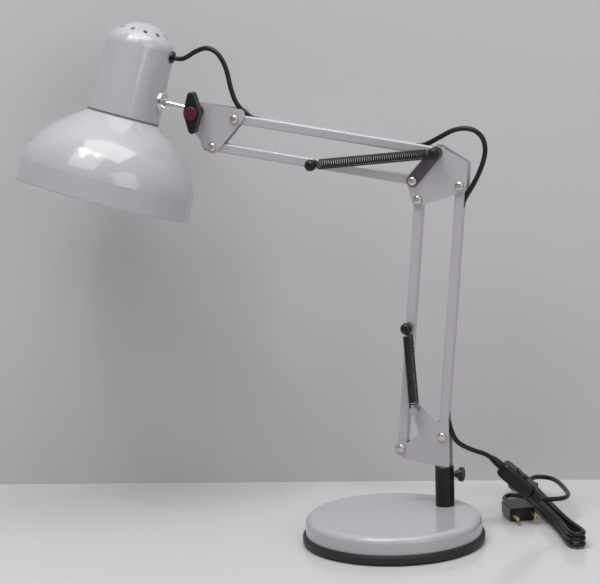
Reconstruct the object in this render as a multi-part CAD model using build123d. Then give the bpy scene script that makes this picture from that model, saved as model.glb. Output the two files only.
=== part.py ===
from build123d import *
import os
from math import atan2, cos, degrees, dist, hypot, pi, radians, sin, sqrt, tan

# Spring-balanced desk lamp on a weighted round base.
# Millimetres. Origin: centre of the base's rest face, +Z up. The two parallelogram arms lie in a
# plane parallel to XZ, with the head toward -X. The side of the wing nut and springs is -Y.

# ---- fits and clearances -------------------------------------------------------------------
RUNNING = 0.05          # radial clearance of every turning pin
SIDE_GAP = 0.30         # between a bar and the plates on each side of it
LIFT = 0.30             # axial gap under a turning shoulder
CORD_GAP = 0.45         # least gap of a cord to what it passes

# ---- base ----------------------------------------------------------------------------------
RING_R = 92.5           # outside of the rubber ring
RING_HEIGHT = 10.3
RING_FLOOR = 3.0        # rubber under the cover's edge
COVER_R = 89.5
COVER_TOP = 27.4        # height of the flat top
COVER_SHOULDER = 7.0
COVER_WALL = 1.2
PLATE_THICK = 1.5
WEIGHT_R = 76.0
WEIGHT_CHAMFER = 3.0
PLATE_SCREW_COUNT = 3
PLATE_SCREW_RADIUS = 55.0
PLATE_SCREW_HEAD_R = 4.5
PLATE_SCREW_R = 2.0
PLATE_SCREW_DEPTH = 9.0

# ---- post socket ---------------------------------------------------------------------------
POST_RADIUS = 62.0      # from the base's centre
POST_ANGLE = 48.9       # from +X
TUBE_R = 9.75
TUBE_HEIGHT = 42.0
TUBE_FLOOR = 4.0
TUBE_SHANK_R = 6.0
PIN_R = 6.2
PIN_DEPTH = 35.0
PIN_COLLAR_R = 8.6
NUT_RECESS_R = 12.0
NUT_THICK = 5.0
NUT_HALF_FLATS = 9.0
CLAMP_HEIGHT = 33.6     # thumb screw above the cover
CLAMP_R = 2.5
CLAMP_DISC_R = 7.35
CLAMP_DISC_THICK = 4.6
CLAMP_REACH = 20.2      # outer face of the disc from the tube's axis
CLAMP_COLLAR_R = 4.0
CLAMP_NOTCHES = 18

# ---- bars and plates -----------------------------------------------------------------------
BAR = 10.0              # square tube
BAR_WALL = 1.2
BAR_CORNER = 2.0
BAR_OVERHANG = 6.0      # past each pivot
PLATE = 1.5             # thickness of every stamped plate
BOLT_R = 2.0
DOME_R = 4.75
DOME_HEIGHT = 3.5
NUT_FLATS = 3.6         # half across flats
NUT_HEIGHT = 3.2
LOWER_LENGTH = 259.0
LOWER_LEAN = 5.0        # degrees back from upright
UPPER_LENGTH = 218.0
UPPER_RISE = 8.2        # degrees up toward the head

# pivots of the arm plane: forward of the post axis, height
P1 = (43.7, 86.3)
P2 = (0.0, 101.0)
HOOK = (26.5, 128.4)
ELBOW_U1 = (4.8, 19.1)      # from the front bar's top pivot
ELBOW_U2 = (-20.7, 48.0)
ELBOW_CORNER = (-49.2, 36.1)
ELBOW_LOBE = 7.0
ELBOW_CORNER_R = 3.0
STRAP_R = 6.0
WING = (14.3, 36.7)         # wing bolt from the low bar's head pivot

# lower bracket
BRACKET_LOBE = 8.0
BRACKET_WEB_Z = 71.0
BRACKET_WEB_FRONT = 16.0
BRACKET_REAR = -7.2
BRACKET_TOP = 116.0
HOOK_LOBE = 5.5
RIVET_R = 4.0

# springs
WIRE = 1.5
COIL_R = 4.75           # centre line of the wire
SPRING_SIDE = 14.5      # centre line of both springs, toward -Y
SPRING_PITCH = 2.0
LOWER_BOLT_AT = 128.0   # along the front bar
UPPER_BOLT_AT = 106.0   # along the low bar
STUD_COLLAR_R = 3.4
STUD_CAP_R = 6.0
STUD_CAP_THICK = 6.5
LOOP_R = 3.1            # centre line of the end loops

# ---- head joint ----------------------------------------------------------------------------
WING_BOLT_R = 2.5
EYE_R = 6.5
EYE_HALF = 3.5
WASHER_R = 7.2
ROD_R = 2.5
ROD_LENGTH = 49.4
ROD_RISE = 12.0
BALL_R = 6.0
WING_HUB_R = 8.75
WING_LENGTH = 43.0
WING_END_WIDTH = 8.0
WING_NEAR = 27.0
WING_FAR = 17.0
WING_NECK_R = 6.5
WING_TURN = 0.0         # degrees the clamped wing stands turned
BUTTON_R = 6.8
BUTTON_THICK = 2.2

# ---- head ----------------------------------------------------------------------------------
HEAD_LEAN = 13.4
HEAD_SWIVEL = 10.8      # degrees the head stands turned about the rod, its top away from -Y
BALL_OFFSET = 32.5      # ball centre from the head's axis
BALL_RISE = 24.1        # ball centre above the seam
CAP_R = 38.9
CAP_TOP_R = 36.2
CAP_SIDE = 73.5
CAP_SHOULDER_R = 16.0
CAP_HEIGHT = 99.5
CAP_WALL = 1.2
VENT_R = 2.2
VENT_CIRCLE = 26.5
VENT_COUNT = 12
VENT_PHASE = -66.0      # degrees round the cap to the first vent
SHADE_WALL = 1.0
SHADE_PROFILE = ((2.5, 39.1), (12.5, 53.5), (24.0, 68.0), (36.0, 79.5), (50.0, 88.0), (68.0, 93.0), (90.0, 93.0))
SHADE_NECK_HOLE = 21.0
RIM_BEAD = 1.1
SEAM_HEIGHT = 2.0
JOINT_RING_R = 11.5
GROMMET_RISE = 71.0
GROMMET_FLANGE_R = 6.2
HOLDER_R = 17.0
HOLDER_LENGTH = 36.0
BULB_R = 27.0
CABLE_R = 2.5           # the one cable, from plug to lampholder

# ---- supply cord ---------------------------------------------------------------------------
HANK_LAYERS = 3
HANK_PITCH = 5.5
SWITCH_WIDTH = 22.0
SWITCH_HEIGHT = 16.0

POST = (POST_RADIUS * cos(radians(POST_ANGLE)), POST_RADIUS * sin(radians(POST_ANGLE)))
PLATE_IN = BAR / 2 + SIDE_GAP
PLATE_OUT = PLATE_IN + PLATE
STRAP_OUT = PLATE_OUT + PLATE
TUBE_TOP = COVER_TOP + TUBE_HEIGHT
SPRING_OUTER = COIL_R + WIRE / 2


# ---- arm plane: u forward of the post axis, v up, side toward -Y ----------------------------
def at(uv, side=0.0):
    return Vector(POST[0] - uv[0], POST[1] - side, uv[1])


def arm_plane(side):
    return Plane(origin=(POST[0], POST[1] - side, 0), x_dir=(-1, 0, 0), z_dir=(0, 1, 0))


def slab(face, low, high):
    """A plate of the arm plane between two sides."""
    return extrude(arm_plane(high) * face, high - low)


def disc(uv, radius, low, high):
    return slab(Pos(uv[0], uv[1]) * Circle(radius), low, high)


def hexagon(uv, half_flats, low, high, turn=0.0):
    flat = RegularPolygon(half_flats, 6, major_radius=False, rotation=turn)
    return slab(Pos(uv[0], uv[1]) * flat, low, high)


def add(p, q):
    return (p[0] + q[0], p[1] + q[1])


def polar(angle, length):
    """A step of the arm plane, angle in degrees above forward."""
    return (length * cos(radians(angle)), length * sin(radians(angle)))


def along(p, angle, length):
    return add(p, polar(angle, length))


def group(solids):
    return Compound(children=list(solids))


def put(shape, name):
    export_step(shape, "parts/" + name + ".step")


LOWER_ANGLE = 90.0 + LOWER_LEAN
Q1 = along(P1, LOWER_ANGLE, LOWER_LENGTH)
Q2 = along(P2, LOWER_ANGLE, LOWER_LENGTH)
U1 = add(Q1, ELBOW_U1)
U2 = add(Q1, ELBOW_U2)
V1 = along(U1, UPPER_RISE, UPPER_LENGTH)
V2 = along(U2, UPPER_RISE, UPPER_LENGTH)
W = add(V1, WING)
BALL = along(W, ROD_RISE, ROD_LENGTH)


# ---- base ----------------------------------------------------------------------------------
def ring_profile():
    """Half section of the rubber foot: a full disc underneath, turned up round the cover's edge."""
    points = [(0, 0), (RING_R - 2.0, 0), (RING_R, 2.5), (RING_R, RING_HEIGHT - 2.5)]
    points += [(RING_R - 1.4, RING_HEIGHT), (COVER_R, RING_HEIGHT), (COVER_R, RING_FLOOR), (0, RING_FLOOR)]
    return Plane.XZ * make_face(Polyline(points, close=True))


def base_ring():
    return revolve(ring_profile(), Axis.Z)


def cover_profile(shrink):
    """Half section of the cover, filled to the axis and drawn in by the wall."""
    radius = COVER_R - shrink
    top = COVER_TOP - shrink
    round_r = COVER_SHOULDER - shrink
    side = Line((radius, RING_FLOOR), (radius, top - round_r))
    bend = TangentArc(side @ 1, (radius - round_r, top), tangent=(0, 1))
    rest = Polyline(bend @ 1, (0, top), (0, RING_FLOOR), (radius, RING_FLOOR))
    return Plane.XZ * make_face(Curve() + [side, bend, rest])


def base_cover():
    shell = revolve(cover_profile(0), Axis.Z) - revolve(cover_profile(COVER_WALL), Axis.Z)
    hole = Pos(POST[0], POST[1], COVER_TOP) * Cylinder(TUBE_SHANK_R, 4 * COVER_WALL)
    return shell - hole


def plate_screw_places():
    return [Rot(0, 0, 30 + 360 * i / PLATE_SCREW_COUNT) * Pos(PLATE_SCREW_RADIUS, 0, 0) for i in range(PLATE_SCREW_COUNT)]


def rise(radius, height, z):
    return Pos(0, 0, z) * Cylinder(radius, height, align=(Align.CENTER, Align.CENTER, Align.MIN))


def screw(head_r, shank_r, head_h, shank_h, z):
    """A countersunk screw, head down at z."""
    cone = Pos(0, 0, z) * Cone(head_r, shank_r, head_h, align=(Align.CENTER, Align.CENTER, Align.MIN))
    return cone + rise(shank_r, shank_h, z + head_h)


def base_plate():
    plate = rise(COVER_R - COVER_WALL, PLATE_THICK, RING_FLOOR)
    for place in plate_screw_places():
        plate -= place * screw(PLATE_SCREW_HEAD_R, PLATE_SCREW_R, PLATE_THICK, 1, RING_FLOOR)
    return plate


def base_weight():
    low = RING_FLOOR + PLATE_THICK
    height = COVER_TOP - COVER_WALL - low
    weight = rise(WEIGHT_R, height, low)
    weight = chamfer(weight.edges().filter_by(GeomType.CIRCLE), WEIGHT_CHAMFER)
    weight -= Pos(POST[0], POST[1], 0) * rise(TUBE_SHANK_R, height, low)
    weight -= Pos(POST[0], POST[1], 0) * rise(NUT_RECESS_R, NUT_THICK + 1.0, low)
    for place in plate_screw_places():
        weight -= place * rise(PLATE_SCREW_R, PLATE_SCREW_DEPTH, low)
    return weight


def base_plate_screws():
    body = screw(PLATE_SCREW_HEAD_R, PLATE_SCREW_R, PLATE_THICK, PLATE_SCREW_DEPTH - 0.5, RING_FLOOR)
    slot = Pos(0, 0, RING_FLOOR) * Box(6.0, 1.1, 1.2)
    return group([place * (body - slot) for place in plate_screw_places()])


# ---- post socket ---------------------------------------------------------------------------
NUT_SEAT = RING_FLOOR + PLATE_THICK + NUT_THICK + 1.0


def post(shape):
    return Pos(POST[0], POST[1], 0) * shape


def socket_tube():
    tube = rise(TUBE_R, TUBE_HEIGHT, COVER_TOP)
    tube = chamfer(tube.edges().filter_by(GeomType.CIRCLE).sort_by(Axis.Z)[-1], 0.8)
    tube += rise(TUBE_SHANK_R, COVER_TOP - NUT_SEAT + NUT_THICK - 0.5, NUT_SEAT - NUT_THICK + 0.5)
    tube -= rise(PIN_R + RUNNING, TUBE_HEIGHT - TUBE_FLOOR, COVER_TOP + TUBE_FLOOR)
    side = Pos(TUBE_R, 0, COVER_TOP + CLAMP_HEIGHT) * Rot(0, 90, 0) * Cylinder(CLAMP_R + RUNNING, 2 * (TUBE_R - PIN_R) + 4)
    return post(tube - side)


def socket_nut():
    nut = extrude(Pos(0, 0, NUT_SEAT - NUT_THICK) * RegularPolygon(NUT_HALF_FLATS, 6, major_radius=False), NUT_THICK)
    nut -= rise(TUBE_SHANK_R, NUT_THICK, NUT_SEAT - NUT_THICK)
    return post(nut)


def thumb_screw():
    stem = rise(CLAMP_R, CLAMP_REACH - PIN_R - LIFT, PIN_R + LIFT)
    collar = rise(CLAMP_COLLAR_R, CLAMP_REACH - TUBE_R - 2.2, TUBE_R + 2.2)
    knob = rise(CLAMP_DISC_R, CLAMP_DISC_THICK, CLAMP_REACH - CLAMP_DISC_THICK)
    knob = chamfer(knob.edges().filter_by(GeomType.CIRCLE), 0.6)
    for i in range(CLAMP_NOTCHES):
        cut = Rot(0, 0, 360 * i / CLAMP_NOTCHES) * Pos(CLAMP_DISC_R + 0.35, 0, CLAMP_REACH - CLAMP_DISC_THICK / 2)
        knob -= cut * Cylinder(0.75, CLAMP_DISC_THICK + 1)
    whole = stem + collar + knob
    return Pos(POST[0], POST[1], COVER_TOP + CLAMP_HEIGHT) * Rot(0, 90, 0) * whole


# ---- turret: pin and lower bracket ---------------------------------------------------------
def turret_pin():
    foot = TUBE_TOP - PIN_DEPTH
    web = BRACKET_WEB_Z
    pin = rise(PIN_R, web - foot, foot)
    pin = chamfer(pin.edges().filter_by(GeomType.CIRCLE).sort_by(Axis.Z)[0], 1.0)
    pin += rise(PIN_COLLAR_R, web - TUBE_TOP - LIFT, TUBE_TOP + LIFT)
    pin += rise(RIVET_R, PLATE, web)
    pin += rise(RIVET_R + 1.0, 1.2, web + PLATE)
    return post(pin)


def soften(face, radius):
    """Round every corner of a plate's outline, inside and out."""
    return offset(offset(offset(face, radius), -2 * radius), radius)


def lower_bracket_outline(hooked):
    web = BRACKET_WEB_Z
    rear = BRACKET_REAR
    points = [(rear, web), (rear, BRACKET_TOP), (4.4, BRACKET_TOP - 0.5)]
    if hooked:
        points += [(21.1, 131.3), (HOOK[0], HOOK[1]), (29.9, 117.3)]
    points += [(25.1, 107.0), (25.2, 101.5), (36.1, 93.1), P1, (42.8, P1[1] - 10.5), (35.8, web + 3.9)]
    points += [(BRACKET_WEB_FRONT, web)]
    face = make_face(Polyline(points, close=True))
    face += Pos(*P1) * Circle(BRACKET_LOBE)
    if hooked:
        face += Pos(*HOOK) * Circle(HOOK_LOBE)
    return soften(face, 1.4)


def lower_bracket():
    near = slab(lower_bracket_outline(True), PLATE_IN, PLATE_OUT)
    far = slab(lower_bracket_outline(False), -PLATE_OUT, -PLATE_IN)
    web_face = Pos((BRACKET_REAR + BRACKET_WEB_FRONT) / 2, BRACKET_WEB_Z + PLATE / 2) * Rectangle(
        BRACKET_WEB_FRONT - BRACKET_REAR - 4.0, PLATE)
    shape = near + far + slab(web_face, -PLATE_OUT, PLATE_OUT)
    for pivot in (P1, P2):
        shape -= disc(pivot, BOLT_R, -PLATE_OUT, PLATE_OUT)
    shape -= disc(HOOK, BOLT_R, PLATE_IN, PLATE_OUT)
    shape -= post(rise(RIVET_R, PLATE, BRACKET_WEB_Z))
    return shape


def dome_bolt(uv, seat, tip):
    """A dome-head bolt through the arm plane: head on the near side at seat, thread to tip."""
    head = disc(uv, DOME_R, seat, seat + DOME_HEIGHT)
    head = fillet(head.edges().filter_by(GeomType.CIRCLE).sort_by(Axis.Y)[0], DOME_HEIGHT * 0.85)
    return head + disc(uv, BOLT_R, tip, seat)


def bolt_nut(uv, seat):
    """A nut on the far side, its face against seat."""
    nut = hexagon(uv, NUT_FLATS, -seat - NUT_HEIGHT, -seat)
    return nut - disc(uv, BOLT_R, -seat - NUT_HEIGHT, -seat)


def bolt_tip(seat):
    return -seat - NUT_HEIGHT - 0.8


def lower_bracket_bolts():
    return group(dome_bolt(p, PLATE_OUT, bolt_tip(PLATE_OUT)) for p in (P1, P2))


def lower_bracket_nuts():
    return group(bolt_nut(p, PLATE_OUT) for p in (P1, P2))


def spring_hook_pin():
    pin = disc(HOOK, BOLT_R, PLATE_IN, SPRING_SIDE + 2.2)
    pin += disc(HOOK, STUD_COLLAR_R, PLATE_OUT, SPRING_SIDE - 2.0)
    pin += disc(HOOK, STUD_COLLAR_R + 1.0, SPRING_SIDE + 2.0, SPRING_SIDE + 4.0)
    return pin


# ---- bars ----------------------------------------------------------------------------------
def bar_plane(p, angle):
    """Frame of a bar: z along it, y toward its front or underside."""
    a = radians(angle)
    return Plane(origin=at(p), x_dir=(0, 1, 0), z_dir=(-cos(a), 0, sin(a)))


def bar_point(p, angle, reach, out):
    """A point of the arm plane at a reach along a bar, out from its rear or top face's side."""
    return along(along(p, angle, reach), angle + 90.0, out)


def slot_cut(start, end):
    """A round-ended cable slot through the rear or top wall, in the bar's frame."""
    half = SLOT_WIDTH / 2
    depth = 2 * BAR_WALL
    cut = Pos(0, -BAR / 2, (start + end) / 2) * Box(SLOT_WIDTH, depth, end - start - SLOT_WIDTH)
    for reach in (start + half, end - half):
        cut += Pos(0, -BAR / 2, reach) * Rot(90, 0, 0) * Cylinder(half, depth)
    return cut


def bar(p, angle, length, slots=()):
    inner = BAR - 2 * BAR_WALL
    section = RectangleRounded(BAR, BAR, BAR_CORNER) - RectangleRounded(inner, inner, BAR_CORNER - BAR_WALL)
    tube = Pos(0, 0, -BAR_OVERHANG) * extrude(section, length + 2 * BAR_OVERHANG)
    for start, end in slots:
        tube -= slot_cut(start, end)
    return bar_plane(p, angle) * tube


def pivot_hole(uv, slack):
    return disc(uv, BOLT_R + slack, -BAR, BAR)


def lower_rear_bar():
    shape = bar(P2, LOWER_ANGLE, LOWER_LENGTH, LOWER_SLOTS)
    return shape - pivot_hole(P2, RUNNING) - pivot_hole(Q2, RUNNING)


def lower_front_bar():
    shape = bar(P1, LOWER_ANGLE, LOWER_LENGTH)
    return shape - pivot_hole(P1, RUNNING) - pivot_hole(Q1, OPEN_SLACK) - pivot_hole(LOWER_STUD, 0)


def upper_top_bar():
    shape = bar(U2, UPPER_RISE, UPPER_LENGTH, UPPER_SLOTS)
    return shape - pivot_hole(U2, RUNNING) - pivot_hole(V2, RUNNING)


def upper_low_bar():
    shape = bar(U1, UPPER_RISE, UPPER_LENGTH)
    return shape - pivot_hole(U1, RUNNING) - pivot_hole(V1, OPEN_SLACK) - pivot_hole(UPPER_STUD, 0)


def spring_stud(uv):
    """A stud through a bar: nut on the far side, washer, collar, and a stem for the spring's loop."""
    half = BAR / 2
    stud = disc(uv, BOLT_R, -half - NUT_HEIGHT, SPRING_SIDE + CAP_INNER + CAP_GRIP)
    stud += hexagon(uv, NUT_FLATS, -half - NUT_HEIGHT, -half)
    stud += disc(uv, DOME_R, half, half + WASHER)
    return stud + disc(uv, STUD_COLLAR_R, half + WASHER, SPRING_SIDE - CAP_INNER)


def stud_cap(uv):
    """The black domed cap on a stud's end."""
    low = SPRING_SIDE + CAP_INNER
    cap = disc(uv, STUD_CAP_R, low, low + STUD_CAP_THICK)
    cap = fillet(cap.edges().filter_by(GeomType.CIRCLE).sort_by(Axis.Y)[0], STUD_CAP_THICK * 0.7)
    return cap - disc(uv, BOLT_R, low, low + CAP_GRIP)


SLOT_WIDTH = 6.4
OPEN_SLACK = 0.12           # slack of the two pivots where the linkages are opened
WASHER = 1.0
CAP_INNER = 1.8             # cap and collar each side of the spring's loop
CAP_GRIP = 3.0
LOWER_SLOTS = ((5.0, 25.0), (LOWER_LENGTH - 22.5, LOWER_LENGTH - 5.5))
UPPER_SLOTS = ((8.5, 24.5), (UPPER_LENGTH - 25.5, UPPER_LENGTH - 6.5))
LOWER_STUD = along(P1, LOWER_ANGLE, LOWER_BOLT_AT)
UPPER_STUD = along(U1, UPPER_RISE, UPPER_BOLT_AT)


# ---- elbow ---------------------------------------------------------------------------------
def hull_of(lobes):
    """Outline round a set of (point, radius) lobes."""
    edges = ShapeList()
    for uv, radius in lobes:
        edges += (Pos(uv[0], uv[1]) * Circle(radius)).edges()
    return make_hull(edges)


def elbow_plates():
    return group([elbow_plate(PLATE_IN, PLATE_OUT), elbow_plate(-PLATE_OUT, -PLATE_IN)])


def elbow_plate(low, high):
    lobes = [(U2, ELBOW_LOBE), (U1, ELBOW_LOBE), (Q1, ELBOW_LOBE), (Q2, ELBOW_LOBE)]
    lobes += [(add(Q1, ELBOW_CORNER), ELBOW_CORNER_R)]
    plate = slab(hull_of(lobes), low, high)
    for pivot in (Q1, Q2, U1, U2):
        plate -= disc(pivot, BOLT_R, low, high)
    return plate


def elbow_straps():
    straps = []
    for low, high in ((PLATE_OUT, STRAP_OUT), (-STRAP_OUT, -PLATE_OUT)):
        strap = slab(hull_of([(U1, STRAP_R), (U2, STRAP_R)]), low, high)
        straps.append(strap - disc(U1, BOLT_R, low, high) - disc(U2, BOLT_R, low, high))
    return group(straps)


def elbow_bolts():
    bolts = [dome_bolt(p, PLATE_OUT, bolt_tip(PLATE_OUT)) for p in (Q1, Q2)]
    return group(bolts + [dome_bolt(U1, STRAP_OUT, bolt_tip(STRAP_OUT))])


def elbow_nuts():
    return group([bolt_nut(Q1, PLATE_OUT), bolt_nut(Q2, PLATE_OUT), bolt_nut(U1, STRAP_OUT), bolt_nut(U2, STRAP_OUT)])


def elbow_spring_pin():
    pin = disc(U2, BOLT_R, bolt_tip(STRAP_OUT), SPRING_SIDE + CAP_INNER + CAP_GRIP)
    return pin + disc(U2, STUD_COLLAR_R, STRAP_OUT, SPRING_SIDE - CAP_INNER)


# ---- springs -------------------------------------------------------------------------------
def biarc(p0, t0, p1, t1):
    """Two arcs from p0 along t0 to p1 along t1, or a line where the points are in line."""
    v = p1 - p0
    if (v.normalized() - t0).length < 1e-6 and (v.normalized() - t1).length < 1e-6:
        return [Edge.make_line(p0, p1)]
    both = t0 + t1
    k = 1 - t0.dot(t1)
    reach = v.dot(v) / (2 * v.dot(both)) if k < 1e-9 else (sqrt(v.dot(both) ** 2 + 2 * k * v.dot(v)) - v.dot(both)) / (2 * k)
    joint = (p0 + p1 + (t0 - t1) * reach) * 0.5
    first = arc_or_line(p0, t0, joint)
    return first + arc_or_line(joint, first[0] % 1, p1)


def arc_or_line(start, tangent, end):
    if ((end - start).normalized() - tangent).length < 1e-6:
        return [Edge.make_line(start, end)]
    return [Edge.make_tangent_arc(start, tangent, end)]


def arcs_through(knots):
    """The edges of a path through (point, direction) knots."""
    edges = []
    for (p0, t0), (p1, t1) in zip(knots, knots[1:]):
        edges += biarc(p0, t0, p1, t1)
    return edges


def least_gap(edges, diameter, reach):
    """Least gap of a tube to itself, on points, between stretches farther apart than reach."""
    points = []
    travelled = []
    total = 0.0
    for edge in edges:
        count = max(2, int(edge.length / (0.4 * diameter)))
        for i in range(count):
            points.append(tuple(edge @ (i / count)))
            travelled.append(total + edge.length * i / count)
        total += edge.length
    cells = {}
    for i, p in enumerate(points):
        cells.setdefault(tuple(int(c // (2 * diameter)) for c in p), []).append(i)
    least = 2 * diameter
    for (a, b, c), members in cells.items():
        near = [j for x in (a - 1, a, a + 1) for y in (b - 1, b, b + 1) for z in (c - 1, c, c + 1)
                for j in cells.get((x, y, z), ())]
        for i in members:
            for j in near:
                if travelled[j] - travelled[i] > reach:
                    least = min(least, dist(points[i], points[j]))
    return least - diameter


def tube(edges, radius):
    path = Wire(edges)
    section = Plane(origin=path @ 0, z_dir=path % 0) * Circle(radius)
    return sweep(section, path=path).solids()[0]


def loop_arc(height, start, end):
    """Part of an end loop, in the xz plane round a stud."""
    places = [Vector(LOOP_R * cos(a), 0, height + LOOP_R * sin(a)) for a in map(radians, (start, (start + end) / 2, end))]
    return Edge.make_three_point_arc(*places)


def coil_knots(length, turns):
    """From the first stud's loop through the right-hand coil to the second's."""
    body = length - 2 * SPRING_END
    slope = body / ((turns + 0.75) * 2 * pi * COIL_R)
    up = Vector(0, 0, 1)
    knots = [(Vector(LOOP_R, 0, 0), up), (Vector(LOOP_R, 0, SPRING_LEAD), up)]
    turned = 45.0
    for step in [0, 90] + [180] * (2 * turns + 1):
        turned += step
        a = radians(turned)
        z = SPRING_END + body * (turned - 45) / (360 * turns + 270)
        knots.append((Vector(COIL_R * cos(a), COIL_R * sin(a), z), Vector(-sin(a), cos(a), slope).normalized()))
    return knots + [(Vector(LOOP_R, 0, length - SPRING_LEAD), up), (Vector(LOOP_R, 0, length), up)]


def spring_edges(length, turns):
    """Local path: z from one stud to the other, an open loop round each, straight wire ends."""
    first = [loop_arc(0, LOOP_START - 360, LOOP_START / 2 - 180), loop_arc(0, LOOP_START / 2 - 180, 0)]
    last = [loop_arc(length, 0, LOOP_END / 2), loop_arc(length, LOOP_END / 2, LOOP_END)]
    head, tail = first[0], last[-1]
    lead = Edge.make_line(head @ 0 - (head % 0) * WIRE, head @ 0)
    tip = Edge.make_line(tail @ 1, tail @ 1 + (tail % 1) * WIRE)
    return [lead] + first + arcs_through(coil_knots(length, turns)) + last + [tip]


def spring(p, q, turns, name):
    """A tension spring between two studs, its loops in the plane of the springs."""
    length = hypot(q[0] - p[0], q[1] - p[1])
    a = atan2(q[1] - p[1], q[0] - p[0])
    place = Plane(origin=at(p, SPRING_SIDE), x_dir=(sin(a), 0, cos(a)), z_dir=(-cos(a), 0, sin(a)))
    edges = spring_edges(length, turns)
    print(name, "turns", turns, "least gap %.2f" % least_gap(edges, WIRE, 4 * WIRE))
    return place * tube(edges, WIRE / 2)


SPRING_END = 7.6            # from a stud's centre to the first curl
SPRING_LEAD = 3.2
LOOP_START = 130.0          # degrees round each stud that the loops are open from and to
LOOP_END = 230.0
LOWER_TURNS = 34
UPPER_TURNS = 48


# ---- head bracket and joint ----------------------------------------------------------------
def head_bracket():
    lobes = [(V1, 7.0), (V2, 7.0), (W, 8.0), (add(W, (-45.3, -3.4)), 6.0), (add(W, (1.5, -18.0)), 5.0)]
    face = hull_of(lobes)
    shape = slab(face, PLATE_IN, PLATE_OUT) + slab(face, -PLATE_OUT, -PLATE_IN)
    low = add(V1, (9.2, -4.5))
    high = add(V1, (20.0, 24.5))
    web = make_face(Polyline(low, high, add(high, (-PLATE, 0.4)), add(low, (-PLATE, 0.4)), close=True))
    shape += slab(web, -PLATE_OUT, PLATE_OUT)
    for pivot in (V1, V2):
        shape -= disc(pivot, BOLT_R, -PLATE_OUT, PLATE_OUT)
    return shape - disc(W, WING_BOLT_R, -PLATE_OUT, PLATE_OUT)


def head_bracket_bolts():
    return group(dome_bolt(p, PLATE_OUT, bolt_tip(PLATE_OUT)) for p in (V1, V2))


def head_bracket_nuts():
    return group(bolt_nut(p, PLATE_OUT) for p in (V1, V2))


def wing_bolt():
    bolt = disc(W, WING_BOLT_R, -PLATE_OUT, WING_NEAR - 1.0)
    head = hexagon(W, 4.5, -PLATE_OUT - 3.5, -PLATE_OUT)
    return bolt + head


def wing_outline():
    """The nut's long face: a round hub drawn out to two blunt ends."""
    end = WING_LENGTH / 2 - WING_END_WIDTH / 2
    hub = [((0, 0), WING_HUB_R)]
    return hull_of(hub + [((0, end), WING_END_WIDTH / 2)]) + hull_of(hub + [((0, -end), WING_END_WIDTH / 2)])


def wing_nut():
    face = Pos(*W) * Rot(0, 0, WING_TURN) * wing_outline()
    nut = slab(face, WING_FAR, WING_NEAR)
    nut = fillet(nut.edges().sort_by(Axis.Y)[:4], 1.6)
    nut += disc(W, WING_NECK_R, PLATE_OUT + SIDE_GAP, WING_FAR)
    return nut - disc(W, WING_BOLT_R + RUNNING, PLATE_OUT, WING_NEAR - 0.7)


def wing_nut_button():
    low = WING_NEAR
    button = disc(W, BUTTON_R, low, low + BUTTON_THICK)
    return fillet(button.edges().filter_by(GeomType.CIRCLE).sort_by(Axis.Y)[0], 1.2)


def friction_washers():
    washers = []
    for low, high in ((EYE_HALF, PLATE_IN - RUNNING), (RUNNING - PLATE_IN, -EYE_HALF)):
        washers.append(disc(W, WASHER_R, low, high) - disc(W, WING_BOLT_R + RUNNING, low, high))
    return group(washers)


def head_rod():
    a = radians(ROD_RISE)
    line = Plane(origin=at(W), z_dir=(-cos(a), 0, sin(a)))
    rod = line * rise(ROD_R, ROD_LENGTH - BALL_R * 0.55, 0)
    rod += disc(W, EYE_R, -EYE_HALF, EYE_HALF)
    return rod - disc(W, WING_BOLT_R + RUNNING, -EYE_HALF, EYE_HALF)


def head_ball():
    a = radians(ROD_RISE)
    line = Plane(origin=at(W), z_dir=(-cos(a), 0, sin(a)))
    bore = rise(ROD_R + RUNNING, ROD_LENGTH - BALL_R * 0.5, 0)
    return line * (Pos(0, 0, ROD_LENGTH) * Sphere(BALL_R) - bore)


# ---- head ----------------------------------------------------------------------------------
LEAN_SIN = sin(radians(HEAD_LEAN))
LEAN_COS = cos(radians(HEAD_LEAN))
SEAM = add(BALL, (BALL_RISE * LEAN_SIN + BALL_OFFSET * LEAN_COS, BALL_OFFSET * LEAN_SIN - BALL_RISE * LEAN_COS))


def turned(way):
    """A direction turned with the head about the rod."""
    rise_angle = radians(ROD_RISE)
    return way.rotate(Axis((0, 0, 0), (-cos(rise_angle), 0, sin(rise_angle))), HEAD_SWIVEL)


def head_frame():
    """Origin at the seam's centre, z up the head's axis, x toward the joint and the arm."""
    middle = at(BALL) + turned(at(SEAM) - at(BALL))
    return Plane(origin=middle, x_dir=turned(Vector(LEAN_COS, 0, -LEAN_SIN)), z_dir=turned(Vector(LEAN_SIN, 0, LEAN_COS)))


def head_point(out, up):
    """Point of the head's own middle plane, off its axis toward the arm and above the seam."""
    return head_frame().from_local_coords(Vector(out, 0, up))


def outward(radius, start, end, up):
    """A cylinder along the head's x, from start to end off the axis."""
    stick = Cylinder(radius, end - start, align=(Align.CENTER, Align.CENTER, Align.MIN))
    return Pos(start, 0, up) * Rot(0, 90, 0) * stick


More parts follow.
